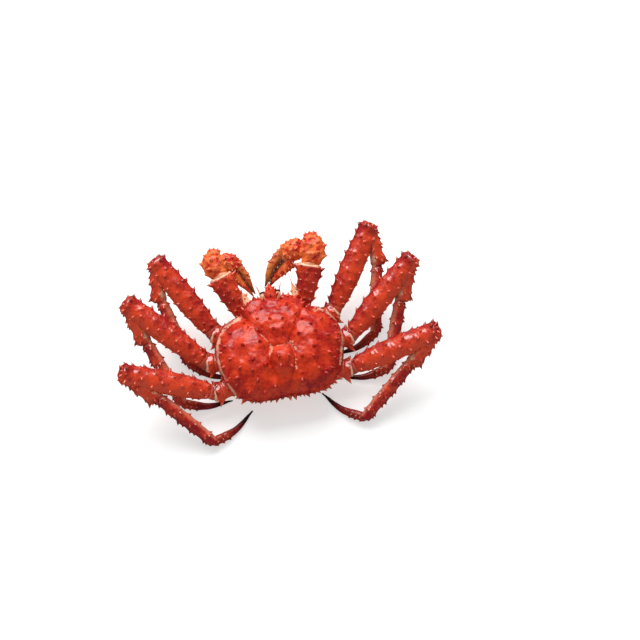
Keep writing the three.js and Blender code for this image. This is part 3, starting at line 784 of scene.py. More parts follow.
def back_spines():
    """Places in plan and heights of the spines of the back: the tall ones where the photograph shows
    them, then the low ones, strewn evenly over its area."""
    stout = STOMACH_SPINES_SEEN + SHOULDER_SPINES_SEEN + LEFT_GILL_SPINES_SEEN + RIGHT_GILL_SPINES_SEEN
    tall_x, tall_y = places_on_back(stout + HEART_SPINES_SEEN)
    draw = np.random.default_rng(3)
    tall = [draw.uniform(*STOUT_HEIGHTS, len(stout)), draw.uniform(*HEART_HEIGHTS, len(HEART_SPINES_SEEN))]
    turn = draw.uniform(-math.pi, math.pi, LOW_COUNT)
    share = np.sqrt(draw.uniform(0.01, 0.84, LOW_COUNT))
    reach, _ = rim_at(turn)
    low_x, low_y = in_plan(turn, share * reach)
    height = np.concatenate([*tall, draw.uniform(*LOW_HEIGHTS, LOW_COUNT)])
    return np.concatenate([tall_x, low_x]), np.concatenate([tall_y, low_y]), height


def back_marks(x, y, points, share):
    """How pale, dark and orange the back is. Cream lies in patches along the streaks and edges that
    the photograph shows, with a thin brown line inside the edges. The back is more orange in a patch
    on each side and at the hind edge, and crimson near the rim."""
    warm = EVEN - 0.35 * smoothstep(0.75, 0.95, share) + 0.25 * smoothstep(-35, -58, y)
    for patch_x, patch_y, spread, amount in ORANGE_PATCHES:
        warm = warm + amount * bell(np.hypot(x - patch_x, y - patch_y), spread)
    dark = np.zeros_like(x)
    pale = np.zeros_like(x)
    patchy = smoothstep(-0.7, 0.5, ripple(points, 13, 9))
    ragged = 0.7 * ripple(points, 4, 10)
    for lines, brown in ((STREAKS_SEEN, 0.0), (EDGES_SEEN, 0.35)):
        for line, half in lines:
            distance = distance_to(x, y, np.stack(places_on_back(line, 0.0), -1))
            cream = 1 - smoothstep(0.5 * half, 1.5 * half, distance + ragged)
            pale = np.maximum(pale, cream * (0.5 + 0.5 * patchy))
            dark = np.maximum(dark, brown * bell(distance - 1.5 * half, 0.5) * patchy)
    return pale, dark, warm


def make_back_shell():
    """The dome is a square grid pressed into the outline of the shell: a point (u, v) of the square
    goes to the disc at (u sqrt(1 - v^2/2), v sqrt(1 - u^2/2)), and the disc is stretched to the rim.
    The skin swells under each spine and carries soft relief. Rings below the rim make the side wall
    and the underside."""
    count = BACK_GRID
    flat = np.linspace(-1, 1, count)
    v, u = np.meshgrid(flat, flat, indexing="ij")
    disc_x, disc_y = u * np.sqrt(1 - v ** 2 / 2), v * np.sqrt(1 - u ** 2 / 2)
    share = np.hypot(disc_x, disc_y)
    share = np.clip(share * (1 + 0.25 * (1 - share ** 2)), 0, 1)
    turn = np.arctan2(disc_y, disc_x)
    reach, _ = rim_at(turn)
    x, y = in_plan(turn, share * reach)
    points = np.stack([x, y, back_height(x, y)], -1)
    normals = grid_normals(points, wrapped=False)

    foot_x, foot_y, height = back_spines()
    radius = BACK_FOOT[0] * height + BACK_FOOT[1]
    feet = np.stack([foot_x, foot_y, back_height(foot_x, foot_y)], -1)
    lift = swelling(points, feet, BACK_SWELL_RISE * height, BACK_SWELL_SPREAD * radius)
    lift += sum(relief * ripple(points, length, seed) for length, relief, seed in BACK_RIPPLES)
    points = points + normals * (lift * smoothstep(1, 0.93, share))[..., None]
    pale, dark, warm = back_marks(x, y, points, share)

    index = np.arange(count * count).reshape(count, count)
    quads = [np.stack([index[:-1, :-1], index[:-1, 1:], index[1:, 1:], index[1:, :-1]], -1).reshape(-1, 4)]
    edge = np.concatenate([index[0, :-1], index[:-1, -1], index[-1, :0:-1], index[:0:-1, 0]])
    reach, rim = rim_at(turn.ravel()[edge])
    steep = np.clip((rim - 30) / 15, 0.75, 1.3)
    wall = [np.stack([*in_plan(turn.ravel()[edge], part * reach), rim + drop * steep], -1)
            for part, drop in WALL_RINGS]
    ring = np.arange(len(edge))
    after = (ring + 1) % len(edge)
    loops = [edge] + [count * count + k * len(edge) + ring for k in range(len(WALL_RINGS))]
    for upper, lower in zip(loops, loops[1:]):
        quads.append(np.stack([lower, lower[after], upper[after], upper], -1))
    below_rim = len(WALL_RINGS) * len(edge) + 1
    bottom = count * count + below_rim - 1
    tris = np.stack([np.full(len(edge), bottom), loops[-1][after], loops[-1]], -1)
    everything = np.vstack([points.reshape(-1, 3), *wall, [[0, SHELL_MIDDLE, SHELL_FLOOR]]])
    depth = np.append(np.repeat(np.linspace(0.1, 1, len(WALL_RINGS)), len(edge)), 1.0)
    mottled = smoothstep(-0.6, 1.0, ripple(everything[-below_rim:], 9, 11))
    build = Build()
    build.add(everything, np.vstack(quads), tris, 0.0,
              np.concatenate([pale.ravel(), np.clip(0.75 * depth * (0.35 + mottled), 0, 0.9)]),
              np.concatenate([dark.ravel(), np.zeros(below_rim)]),
              np.concatenate([warm.ravel(), np.full(below_rim, EVEN)]))
    build.piece("back_shell", RED_SHELL, "shell", "carapace")

    build = Build()
    normal = back_normal(foot_x, foot_y)
    outwards = unit(np.stack([foot_x, foot_y - SHELL_MIDDLE, np.zeros_like(foot_x)], -1))
    feet = feet + normal * (BACK_FOOT_RISE * height)[:, None]
    tall = height > TALL_ON_BACK
    for chosen, sides, lean in ((tall, 11, 0.35), (~tall, 7, 0.2)):
        add_spines(build, feet[chosen], normal[chosen], outwards[chosen], height[chosen],
                   radius[chosen], sides, lean)
    add_beak(build)
    build.piece("back_spines", RED_SHELL, "shell")
    build = Build()
    add_edge_teeth(build)
    build.piece("edge_teeth", LIMB_SHELL, "shell")


def add_edge_teeth(build):
    """Teeth round the edge of the shell: along its hind edge those that the photograph shows, with
    small ones strewn between them, and a row along each side and the front."""
    ray = photo_ray(HIND_TEETH_SEEN)
    hind = CAMERA_PLACE + ray * ((HIND_EDGE_HEIGHT - CAMERA_PLACE[2]) / ray[:, 2])[:, None]
    hind_turn = np.arctan2(hind[:, 1] - SHELL_MIDDLE, hind[:, 0])
    rows = [hind_turn, np.radians(SIDE_TEETH), np.radians(FRONT_TEETH)]
    draw = np.random.default_rng(12)
    turn = np.concatenate(rows)
    share = np.concatenate([np.full(len(places), part) for places, (part, _) in zip(rows, TEETH)])
    height = np.concatenate([
        draw.uniform(*heights, len(places)) for places, (_, heights) in zip(rows, TEETH)])
    height[BEAK_TEETH] = BEAK_TEETH_HEIGHT
    reach, _ = rim_at(turn)
    x, y = in_plan(turn, share * reach)
    feet = np.stack([x, y, back_height(x, y)], -1)
    outwards = np.stack([np.cos(turn), np.sin(turn), np.zeros_like(turn)], -1)
    normal = unit(outwards + [0, 0, 0.25] + draw.uniform(-0.12, 0.12, outwards.shape))
    add_spines(build, feet - normal * 0.6, normal, outwards, height, 0.3 * height + 0.9, 10, 0.15,
               dark=0.3 * (turn < 0), warm=0.6)
    turn = np.radians(draw.uniform(-140, -38, SMALL_TEETH))
    reach, rim = rim_at(turn)
    feet = np.stack([*in_plan(turn, reach), rim - 0.5], -1)
    outwards = np.stack([np.cos(turn), np.sin(turn), draw.uniform(-0.4, 0.5, len(turn))], -1)
    add_spines(build, feet, outwards, [0, 0, 1], draw.uniform(1.6, 3.6, len(turn)), 1.2, 8, 0.1,
               dark=0.2, warm=0.7)


def add_beak(build):
    """The beak between the eyes, a tapering limb with a row of spines on each side and one on top."""
    path = [(0, 60, 66), (0, 74, 69.5), (0, 84, 71)]
    beak = Limb(path, (-1, 0, 0), [8, 5, 1.2], [5, 3.8, 1.1], [4, 3.4, 1.1])
    spines = row(20, 3, 0.3, 0.72, 4) + row(160, 3, 0.3, 0.72, 4) + row(88, 2, 0.3, 0.62, 3.6)
    add_limb(build, beak, spines, 50, 40, ("dome", 2), ("dome", 2.5), 0.15, 31, lean=0.8)


# The legs

# Lengths of the merus, carpus, propodus and dactylus
SEGMENT_LENGTHS = {"front": (120, 50, 91, 60), "middle": (128, 54, 94, 62), "rear": (122, 53, 94, 64)}

# Where each merus starts, and the heading and rise in degrees of each segment from it outwards. A
# heading of 0 points along +X and of 90 along +Y.
LEG_POSES = {
    "left": {
        "front": ((-81, 48, 28), (123, 25), (-91, -36), (-74, -26), (-30, -6)),
        "middle": ((-96, 8, 28), (139, 24), (-68, -36), (-67, -25), (-5, -7)),
        "rear": ((-93, -34, 27), (168, 26), (-33, -35), (-44, -26), (32, -7)),
    },
    "right": {
        "front": ((81, 53, 28), (54, 25), (-87, -36), (-101, -26), (-160, -6)),
        "middle": ((96, 13, 28), (37, 24), (-120, -37), (-111, -25), (179, -6)),
        "rear": ((89, -32, 28), (4, 26), (-149, -40), (-144, -24), (137, -7)),
    },
}
LEG_ROOTS = {"front": (38, 33, 22), "middle": (40, 6, 22), "rear": (34, -22, 22)}
DACTYLUS_BOW = 5

# Half-widths, crests and keels of each segment, at even steps from the body outwards
LEG_PROFILES = {
    "base": ([10, 12, 12, 11], [10, 10.5, 10.5, 10], [9, 10, 10, 9.5]),
    "merus": ([9.8, 13, 14.9, 15, 14, 12], [9.5, 12, 13.6, 13.6, 13, 11.6], [9, 11, 11.4, 10.4, 7.6, 4.5]),
    "carpus": ([7.5, 9.5, 10.6, 9.6], [7, 9.5, 11, 10], [3.5, 4.5, 5.5, 6.5]),
    "propodus": ([8, 9.2, 9, 8.2, 7.4], [7.5, 9, 9, 8.2, 7.5], [5.5, 6.8, 7, 6.6, 6]),
    "dactylus": ([6, 6, 4.9, 3.3, 1.2], [6.3, 6.2, 5, 3.4, 1.2], [5.2, 5, 3.6, 2.4, 1]),
}

# Rows of spines as turn, how many, from where to where, and height. The turns go from the front edge
# over the crest on the base and merus, and from the side that faces up over the outer side on the rest.
LEG_SPINES = {
    "base": [
        (12, 2, 0.7, 0.92, 4.2), (60, 2, 0.7, 0.93, 2.6), (120, 2, 0.72, 0.94, 2.8),
        (165, 2, 0.6, 0.93, 4.4), (192, 1, 0.88, 0.88, 9), (-20, 1, 0.9, 0.9, 3.6)],
    "merus": [
        (12, 7, 0.1, 0.9, 4.0), (46, 5, 0.14, 0.84, 2.7), (80, 5, 0.08, 0.86, 2.8),
        (114, 4, 0.16, 0.82, 2.6), (146, 5, 0.1, 0.88, 2.7), (172, 5, 0.16, 0.88, 2.6),
        (-26, 4, 0.2, 0.86, 2.2), (205, 4, 0.2, 0.86, 1.9),
        *wreath(0.985, (4, 4.8), (40, 4.0), (76, 4.8), (112, 4.0), (148, 4.4), (176, 3.6))],
    "carpus": [
        (0, 2, 0.3, 0.8, 2.4), (35, 3, 0.15, 0.75, 3), (68, 3, 0.2, 0.8, 3.6),
        (100, 4, 0.12, 0.8, 4), (132, 3, 0.18, 0.8, 3.4), (-35, 2, 0.2, 0.6, 2),
        *wreath(0.93, (24, 3.8), (54, 5), (82, 7), (110, 6), (140, 4))],
    "propodus": [
        (0, 4, 0.12, 0.88, 2.2), (40, 4, 0.08, 0.84, 2.6), (78, 5, 0.12, 0.93, 3.0),
        (112, 5, 0.06, 0.88, 3.2), (146, 4, 0.12, 0.9, 2.6), (-38, 4, 0.1, 0.88, 2.2),
        (-80, 5, 0.1, 0.9, 2.4), (178, 4, 0.1, 0.88, 2.0)],
    "dactylus": [
        (20, 3, 0.05, 0.26, 2.0), (75, 3, 0.04, 0.3, 2.2), (-40, 3, 0.06, 0.28, 1.9),
        (130, 3, 0.06, 0.3, 2.0)],
}

# Pale spots as place, turn and radius
LEG_SPOTS = {"carpus": [(0.84, -45, 5.5), (0.9, -90, 4)], "propodus": [(0.02, -45, 3)]}
LEG_SKINS = {
    # The pale girdles and rims where the base meets the merus are the joint's cream rim and partly a
    # painted highlight along that joint.
    "base": {
        "rows": 90, "columns": 84, "far": ("socket", 5), "relief": 0.3, "under": 0.7, "pimples": 10,
        "girdles": [(0.82, 1.1, 0.9)], "rims": (0, 1.2)},
    "merus": {
        "rows": 190, "columns": 112, "near": ("dome", 4), "far": ("dome", 5.5), "relief": 0.24,
        "under": 0.6, "pimples": 16, "girdles": [(0.05, 0.7, 1.1)], "rims": (1.0, 0), "lean": 0.7},
    "carpus": {
        "rows": 100, "columns": 96, "near": ("dome", 6), "far": ("socket", 4), "relief": 0.3,
        "under": 0.35, "pimples": 10},
    "propodus": {
        "rows": 140, "columns": 88, "far": ("socket", 4), "relief": 0.25, "under": 0.35,
        "pimples": 14, "girdles": [(0.06, 0.5, 1)]},
    "dactylus": {
        "rows": 120, "columns": 56, "near": ("dome", 2.5), "relief": 0.12, "under": 0.0},
}
KNEE_SPINES = {"depth": 5.5, "height": 3.4, "degrees": [10, 52, 90, 128, 170], "warm": 0.3}
LEG_JOINT_RADII = (10.2, 6.0, 6.0, 5.2)


def mirrored(points, sign):
    """The points on the animal's right side, or on its left with a sign of -1."""
    return np.asarray(points, float) * [sign, 1, 1]


def step_from(start, length, heading, rise):
    """The point at a length, heading and rise from another."""
    turn, lift = math.radians(heading), math.radians(rise)
    level = length * math.cos(lift)
    return start + np.array([level * math.cos(turn), level * math.sin(turn), length * math.sin(lift)])


def hinge_away(start, end, inner):
    """Hinge across a segment such that its crest faces away from a point."""
    along = unit(end - start)
    crest = start - inner
    crest = unit(crest - along * (crest @ along))
    return np.cross(crest, along)


def below(point):
    """A point far below another, from which the crest of a raised limb faces away."""
    return np.array([point[0], point[1], -1000.0])


def make_leg(side, pair, seed):
    """One walking leg, from the base under the shell to the point of its dactylus."""
    on_right = side == "right"
    hip, *headings = LEG_POSES[side][pair]
    root = mirrored(LEG_ROOTS[pair], 1 if on_right else -1)
    joints = [np.array(hip, float)]
    for length, heading in zip(SEGMENT_LENGTHS[pair], headings):
        joints.append(step_from(joints[-1], length, *heading))
    hip, knee, wrist, ankle, tip = joints
    claw_hinge = hinge_away(ankle, tip, wrist)
    bend = (ankle + tip) / 2 + np.cross(unit(tip - ankle), claw_hinge) * DACTYLUS_BOW
    courses = {
        "base": ([root, hip], hinge_away(root, hip, below(hip))),
        "merus": ([hip, knee], hinge_away(hip, knee, below(hip))),
        "carpus": ([knee, wrist], hinge_away(knee, wrist, hip)),
        "propodus": ([wrist, ankle], hinge_away(wrist, ankle, hip)),
        "dactylus": ([ankle, bend, tip], claw_hinge),
    }

    def crimson_front(t, angle):
        """Crimson along the front edge and at the far end, orange on the hind side."""
        front = np.cos(angle) if on_right else -np.cos(angle)
        return EVEN + 0.12 - 0.55 * front - 0.5 * smoothstep(0.84, 1, t) - 0.25 * smoothstep(0.1, 0, t)

    def crimson_outside(t, angle):
        """Crimson on the outer side and towards the far end."""
        return EVEN - 0.12 - 0.3 * np.sin(angle) - 0.25 * smoothstep(0.5, 1, t)

    def dark_point(t, angle):
        """Brown from the middle to the point."""
        return smoothstep(0.5, 0.85, t) + 0 * angle

    def red_root(t, angle):
        """Orange at the root, dark red further out."""
        return 0.9 - 0.9 * smoothstep(0.1, 0.6, t) + 0 * angle

    def turned(name, degrees):
        """The turn on this side's leg, as the two sides are mirror images."""
        near_body = name in ("base", "merus")
        return degrees if on_right == near_body else 180 - degrees

    tones = {name: {"warm": crimson_front} for name in ("base", "merus", "carpus")}
    tones["propodus"] = {"warm": crimson_outside}
    tones["dactylus"] = {"warm": red_root, "dark": dark_point}

    for number, (name, (course, hinge)) in enumerate(courses.items()):
        limb = Limb(course, hinge, *LEG_PROFILES[name])
        spines = [spine for degrees, *rest in LEG_SPINES[name]
                  for spine in row(turned(name, degrees), *rest)]
        spots = [(place, turned(name, degrees), size)
                 for place, degrees, size in LEG_SPOTS.get(name, [])]
        build = Build()
        add_limb(build, limb, spines, seed=seed + number, spots=spots, **LEG_SKINS[name], **tones[name])
        if name == "merus":
            add_end_spines(build, limb, **KNEE_SPINES)
        finish = (HORN, "horn") if name == "dactylus" else (LIMB_SHELL, "limb")
        build.piece(f"{side}_{pair}_{name}", *finish, f"leg_{side}_{pair}_{name}")

    build = Build()
    for place, radius in zip((hip, knee, wrist, ankle), LEG_JOINT_RADII):
        add_ball(build, place, radius, seed)
    build.piece(f"{side}_{pair}_joint_skin", SKIN, "underside")


def add_end_spines(build, limb, depth, height, degrees, warm):
    """Spines on the dome that closes the far end of a limb, half-way down its slope."""
    slope = 0.85
    angle = np.radians(degrees)
    feet = limb.point(1.0, angle, math.sin(slope), depth * math.cos(slope))
    _, tangent, back, side = limb.frames(np.ones(len(angle)))
    across = side * np.cos(angle)[:, None] + back * np.sin(angle)[:, None]
    out = across * math.sin(slope) + tangent * math.cos(slope)
    add_spines(build, feet, out, tangent, height, foot_radius(height), 10, 0.2, warm=warm)


def add_ball(build, place, radius, seed):
    """A ball inside a joint: a sphere whose radius ripples."""
    skin = sphere_rings(24, 36)
    points = place + skin * (radius * (1 + 0.03 * ripple(skin * radius, 4, seed)))[..., None]
    build.tube(points, place - [0, 0, radius], place + [0, 0, radius], 0.1)


# The claws

CLAWS = {
    "left": {
        "root": (-24, 46, 26), "hip": (-39, 57, 35), "elbow": (-60, 109, 66),
        "wrist": [(-62, 113, 68), (-67, 127, 71), (-64, 140, 72)],
        "palm": [(-56, 130, 71), (-46, 129, 66), (-38, 123, 60)],
        "thumb": [(-42, 118, 58), (-36, 108, 53), (-28, 97, 47), (-22, 87, 42)],
        "finger": [(-37, 125, 60), (-30, 115, 56), (-24, 103, 50), (-19, 90, 42)],
        "wrist_size": 0.9, "hand_size": 0.8,
    },
    "right": {
        "root": (24, 46, 26), "hip": (41, 55, 36), "elbow": (58, 105, 66),
        "wrist": [(61, 109, 68), (66, 126, 72), (66, 141, 74)],
        "palm": [(54, 131, 73), (42, 131, 69), (30, 128, 64)],
        "thumb": [(34, 119, 60), (24, 112, 56), (12, 104, 51), (3, 96, 45)],
        "finger": [(27, 131, 65), (15, 123, 61), (4, 110, 54), (-3, 97, 45)],
        "wrist_size": 1.0, "hand_size": 1.0,
    },
}
CLAW_PROFILES = {
    "base": ([9, 10, 9.5, 8.5], [9, 10, 9.5, 8.5], [8, 9, 9, 8]),
    "merus": ([7.5, 9.5, 12.5, 14.5, 14], [7.5, 9.5, 11.5, 12.5, 12], [7, 8.5, 10, 10.5, 9]),
    "wrist": ([13, 16, 15, 9], [12, 15, 14, 8], [10, 12, 11, 7]),
    "palm": ([9, 13, 13.5, 12], [8, 10.5, 10.5, 9], [7, 9.5, 9.5, 8]),
    "thumb": ([8, 6.4, 4.6, 1.4], [7, 6, 4.4, 1.4], [6.4, 5.4, 4, 1.2]),
    "finger": ([7, 6, 4.4, 1.4], [7, 6.2, 4.4, 1.4], [6, 5.4, 4, 1.2]),
}

# Rows of spines as turn, how many, from where to where, and height
CLAW_SPINES = {
    "base": [(60, 2, 0.5, 0.9, 3), (120, 2, 0.5, 0.9, 3)],
    "merus": [
        (10, 3, 0.3, 0.8, 4.0), (50, 4, 0.25, 0.84, 3.0), (85, 4, 0.3, 0.84, 3.2),
        (130, 4, 0.25, 0.84, 3.0), (172, 3, 0.3, 0.8, 4.0), (95, 1, 0.95, 0.95, 4),
        (12, 1, 0.94, 0.94, 8), (50, 1, 0.95, 0.95, 4.2), (135, 1, 0.95, 0.95, 4.2),
        (168, 1, 0.94, 0.94, 8)],
    "carpus": [
        (-20, 2, 0.3, 0.8, 3.4), (12, 3, 0.18, 0.86, 4.4), (48, 3, 0.3, 0.92, 4.4),
        (84, 3, 0.15, 0.8, 4.8), (118, 3, 0.3, 0.92, 4.4), (150, 3, 0.18, 0.84, 4.4),
        (185, 3, 0.3, 0.86, 3.8)],
    "palm": [
        (-10, 3, 0.15, 0.85, 3.0), (25, 3, 0.25, 0.92, 3.8), (60, 3, 0.12, 0.84, 4),
        (95, 3, 0.25, 0.94, 4.2), (130, 3, 0.12, 0.86, 4), (165, 3, 0.25, 0.92, 3.6),
        (200, 3, 0.2, 0.85, 3)],
}
WRIST_SPINES = {"depth": 7, "height": 4.2, "degrees": [-5, 40, 85, 130, 175], "warm": 0.6}

# Pale spots on the merus, as place and radius, on the side that faces the mouth
MERUS_SPOTS = [(0.1, 9), (0.3, 8), (0.5, 6)]
MOUTH_SIDE = {"left": 200, "right": -20}


def merus_warmth(t, angle):
    """More orange on the keel side near the body."""
    return EVEN - 0.05 + 0.5 * smoothstep(0.9, 0.2, t) * (1 - np.sin(angle)) / 2


def wrist_warmth(t, angle):
    """Red beside the spines of the crest, tan towards the keel."""
    return 0.95 - 0.45 * smoothstep(0.2, 1, np.sin(angle)) + 0 * t


def palm_warmth(t, angle):
    """As the wrist, but redder."""
    return wrist_warmth(t, angle) - 0.3


CLAW_SKINS = {
    "base": {
        "rows": 60, "columns": 70, "far": ("socket", 4), "relief": 0.3, "under": 0.8, "pimples": 10,
        "rims": (0, 2)},
    "merus": {
        "rows": 110, "columns": 96, "far": ("socket", 5), "relief": 0.35, "under": 0.7, "pimples": 14,
        "rims": (0, 1.1), "warm": merus_warmth},
    "carpus": {
        "rows": 100, "columns": 110, "near": ("dome", 6), "far": ("dome", 7), "relief": 0.5,
        "under": 0.4, "pimples": 18, "lean": 0.45, "warm": wrist_warmth, "tip_dark": 0.2},
    "palm": {
        "rows": 90, "columns": 110, "near": ("dome", 5), "far": ("dome", 5), "relief": 0.45,
        "under": 0.5, "pimples": 34, "lean": 0.5, "warm": palm_warmth, "tip_dark": 0.2},
}


def scaled(profiles, size):
    """The same profiles at another size."""
    return [np.array(profile) * size for profile in profiles]


def make_claw(side, seed):
    """One clawed limb, from its base beside the mouth to the two fingers bent back to the mouth."""
    claw = {name: np.array(value, float) for name, value in CLAWS[side].items()}
    root, hip, elbow = claw["root"], claw["hip"], claw["elbow"]
    wrist, palm, thumb, finger = (claw[name] for name in ("wrist", "palm", "thumb", "finger"))
    along = unit(palm[-1] - palm[0])
    spread = unit(finger[0] - thumb[0])
    upwards = unit(np.cross(spread, along))
    upwards = upwards * (1 if upwards[2] >= 0 else -1)

    def hand_hinge(path):
        return np.cross(upwards, unit(path[-1] - path[0]))

    hand = claw["hand_size"]
    limbs = {
        "base": Limb([root, hip], hinge_away(root, hip, below(hip)), *CLAW_PROFILES["base"]),
        "merus": Limb([hip, elbow], hinge_away(hip, elbow, below(hip)), *CLAW_PROFILES["merus"]),
        "carpus": Limb(wrist, hinge_away(elbow, wrist[-1], below(elbow)),
                       *scaled(CLAW_PROFILES["wrist"], claw["wrist_size"])),
    }
    for name in ("palm", "thumb", "finger"):
        limbs[name] = Limb(claw[name], hand_hinge(claw[name]), *scaled(CLAW_PROFILES[name], hand))

    for number, name in enumerate(CLAW_SPINES):
        growth = 0.6 + 0.3 * hand if name == "palm" else 1
        spots = MERUS_SPOTS if name == "merus" else []
        spots = [(place, MOUTH_SIDE[side], size) for place, size in spots]
        spines = [spine for degrees, count, start, end, height in CLAW_SPINES[name]
                  for spine in row(degrees, count, start, end, height * growth)]
        build = Build()
        add_limb(build, limbs[name], spines, seed=seed + number, spots=spots, **CLAW_SKINS[name])
        if name == "carpus":
            add_end_spines(build, limbs[name], **WRIST_SPINES)
        if name == "palm":
            add_claw_finger(build, limbs["thumb"], finger, seed + 4)
        shell = LIMB_SHELL if name in ("base", "merus") else CLAW_SHELL
        build.piece(f"{side}_claw_{name}", shell, "limb", f"claw_{side}_{name}")

    build = Build()
    add_claw_finger(build, limbs["finger"], thumb, seed + 5)
    build.piece(f"{side}_claw_finger", CLAW_HORN, "horn", f"claw_{side}_finger")

    build = Build()
    for place, radius in ((hip, 8.5), (elbow, 11), (wrist[-1] * 0.4 + palm[0] * 0.6, 8 * hand),
                          (palm[-1] * 0.5 + (thumb[0] + finger[0]) * 0.25, 8.5 * hand)):
        add_ball(build, place, radius, seed)
    build.piece(f"{side}_claw_joint_skin", BELLY, "underside")


TOOTH_COUNT = 15
BRISTLE_COUNT = 260


def add_claw_finger(build, limb, other, seed):
    """One finger of a claw, dark and bristled on the side that closes on the other finger, with a
    line of low cream teeth along it and a worn dark tip."""
    middle_t = 0.45
    to_other = np.asarray(other, float).mean(0) - limb.at(middle_t)
    _, _, back, side = limb.frames(np.array([middle_t]))
    toward = math.atan2(to_other @ back[0], to_other @ side[0])

    def dark(t, angle):
        inner = bell(np.angle(np.exp(1j * (angle - toward))), 0.62) * smoothstep(0.0, 0.12, t)
        return np.maximum(0.97 * inner, 0.06 + 0.6 * smoothstep(0.7, 0.97, t) + 0 * angle)

    facing = math.degrees(toward)
    spines = (row(facing + 180, 3, 0.06, 0.4, 2.6) + row(facing + 130, 4, 0.05, 0.55, 2.2)
              + row(facing + 230, 4, 0.05, 0.55, 2.2) + row(facing + 155, 3, 0.1, 0.5, 1.8))
    add_limb(build, limb, spines, 110, 70, far=("dome", 1.6), relief=0.15, seed=seed, dark=dark,
             under=0.15, pimples=12, pimple_height=0.6)
    teeth = np.linspace(0.1, 0.93, TOOTH_COUNT)
    feet, out, ahead = limb.foot(teeth, facing)
    height = 1.5 - 0.7 * teeth
    add_spines(build, feet - out * 0.3, out, ahead, height, 0.9 * height, 8, 0.1, pale=0.9)
    draw = np.random.default_rng(seed)
    place, turned = draw.uniform(0.05, 0.9, BRISTLE_COUNT), draw.uniform(-55, 55, BRISTLE_COUNT)
    feet, out, ahead = limb.foot(place, facing + turned)
    add_spines(build, feet, out, ahead, draw.uniform(1.4, 4.6, BRISTLE_COUNT), 0.34, 4, 0.7, dark=1.0)


# The head and the underside

EYE_PATH = [(8, 62, 63), (10.5, 76, 68)]
ANTENNA_PATHS = {
    "left": [(-26, 59, 43), (-30, 70, 47), (-34, 82, 50), (-38, 91, 53), (-41, 99, 57)],
    "right": [(29, 59, 43), (34, 69, 47), (33, 80, 50), (31, 91, 54), (29, 101, 58)],
}
ANTENNA_WIDTHS = [5, 5.4, 4, 1.0, 0.5]
ANTENNA_DEPTHS = [4, 3.6, 2.6, 0.9, 0.5]
ANTENNULE_PATH = [(12, 62, 55), (12.5, 74, 56), (14, 84, 58), (17, 91, 61)]
ANTENNULE_RADII = [1.7, 1.3, 0.9, 0.35]


def make_eye(side):
    """An eye: a cream stalk with small spines, and a dark round cornea over its end."""
    sign = -1 if side == "left" else 1
    radii = [3, 3.2, 3.8, 3.2]
    stalk = Limb(mirrored(EYE_PATH, sign), (-1, 0, 0), radii, radii, radii)
    build = Build()
    spines = row(60, 3, 0.2, 0.7, 1.1) + row(120, 3, 0.2, 0.7, 1.1)
    add_limb(build, stalk, spines, 50, 40, ("dome", 1.5), ("dome", 1), 0.08, 51, under=0.8,
             dark=lambda t, angle: smoothstep(0.76, 0.84, t - 0.07 * np.sin(angle)))
    build.piece(f"{side}_eye", EYE_STALK, "eye", f"eye_{side}")


def make_antenna(side):
    """An antenna: a broad cream stem in two joints, then a thin ringed whip. The antennule, a short
    thin one, stands beside it."""
    sign = -1 if side == "left" else 1
    whip = Limb(ANTENNA_PATHS[side], (-1, 0, 0), ANTENNA_WIDTHS, ANTENNA_DEPTHS, ANTENNA_DEPTHS)
    build = Build()
    rings = [(place, 0.12, 0.5) for place in np.linspace(0.58, 0.98, 26)]
    spines = row(15, 3, 0.14, 0.5, 2.6) + row(165, 3, 0.14, 0.5, 2.6) + row(90, 2, 0.2, 0.42, 1.6)
    add_limb(build, whip, spines, 150, 40, ("dome", 2), ("dome", 0.6), 0.06, 61, under=0.4,
             girdles=[(0.26, 0.6, 0.8), (0.5, 0.6, 0.8)] + rings, spots=[(0.15, 90, 9), (0.4, 90, 8)])
    antennule = Limb(mirrored(ANTENNULE_PATH, sign), (-1, 0, 0), *[ANTENNULE_RADII] * 3)
    add_limb(build, antennule, (), 70, 20, ("dome", 1), ("dome", 0.4), 0.03, 63,
             girdles=[(0.3, 0.3, 0.5), (0.6, 0.25, 0.5)], under=0.3)
    build.piece(f"{side}_antenna", BELLY, "underside", f"antenna_{side}")


# Paths of the folded mouth limbs on the animal's right side, with their radii
MOUTH_LIMBS = [
    ([(14, 55, 46), (16, 62, 36), (14.5, 65, 22), (9.5, 61, 8), (5, 56, 1.8)], [3.6, 4.8, 4.4, 3.4, 1.7]),
    ([(8.5, 57, 46), (10, 65, 36), (8.8, 67.5, 23), (5.6, 64, 10), (2.8, 59, 3.6)],
     [3, 3.9, 3.5, 2.7, 1.3]),
    ([(3, 58, 46), (3.8, 65, 37), (3.6, 67, 27), (2.6, 65.5, 17), (1.5, 62.5, 9)], [2.6, 3.3, 3, 2.2, 1]),
    ([(18, 56, 45), (20.5, 62, 36), (19.5, 66, 26), (16, 67.5, 18), (12.5, 68, 13)],
     [2, 2.3, 1.9, 1.2, 0.6]),
    ([(17, 51, 44), (18.5, 54, 34), (17, 56, 21), (12, 54, 8), (7, 52, 2)], [3.8, 4.8, 4.4, 3.4, 1.8]),
]
MOUTH_JOINTS = [(0.16, 0.5, 0.6), (0.4, 0.7, 0.8), (0.66, 0.6, 0.7), (0.84, 0.4, 0.5)]
MOUTH_BRISTLES = 80
THROAT_SIZE = (17, 8, 23)
THROAT_MIDDLE = (0, 54, 25)


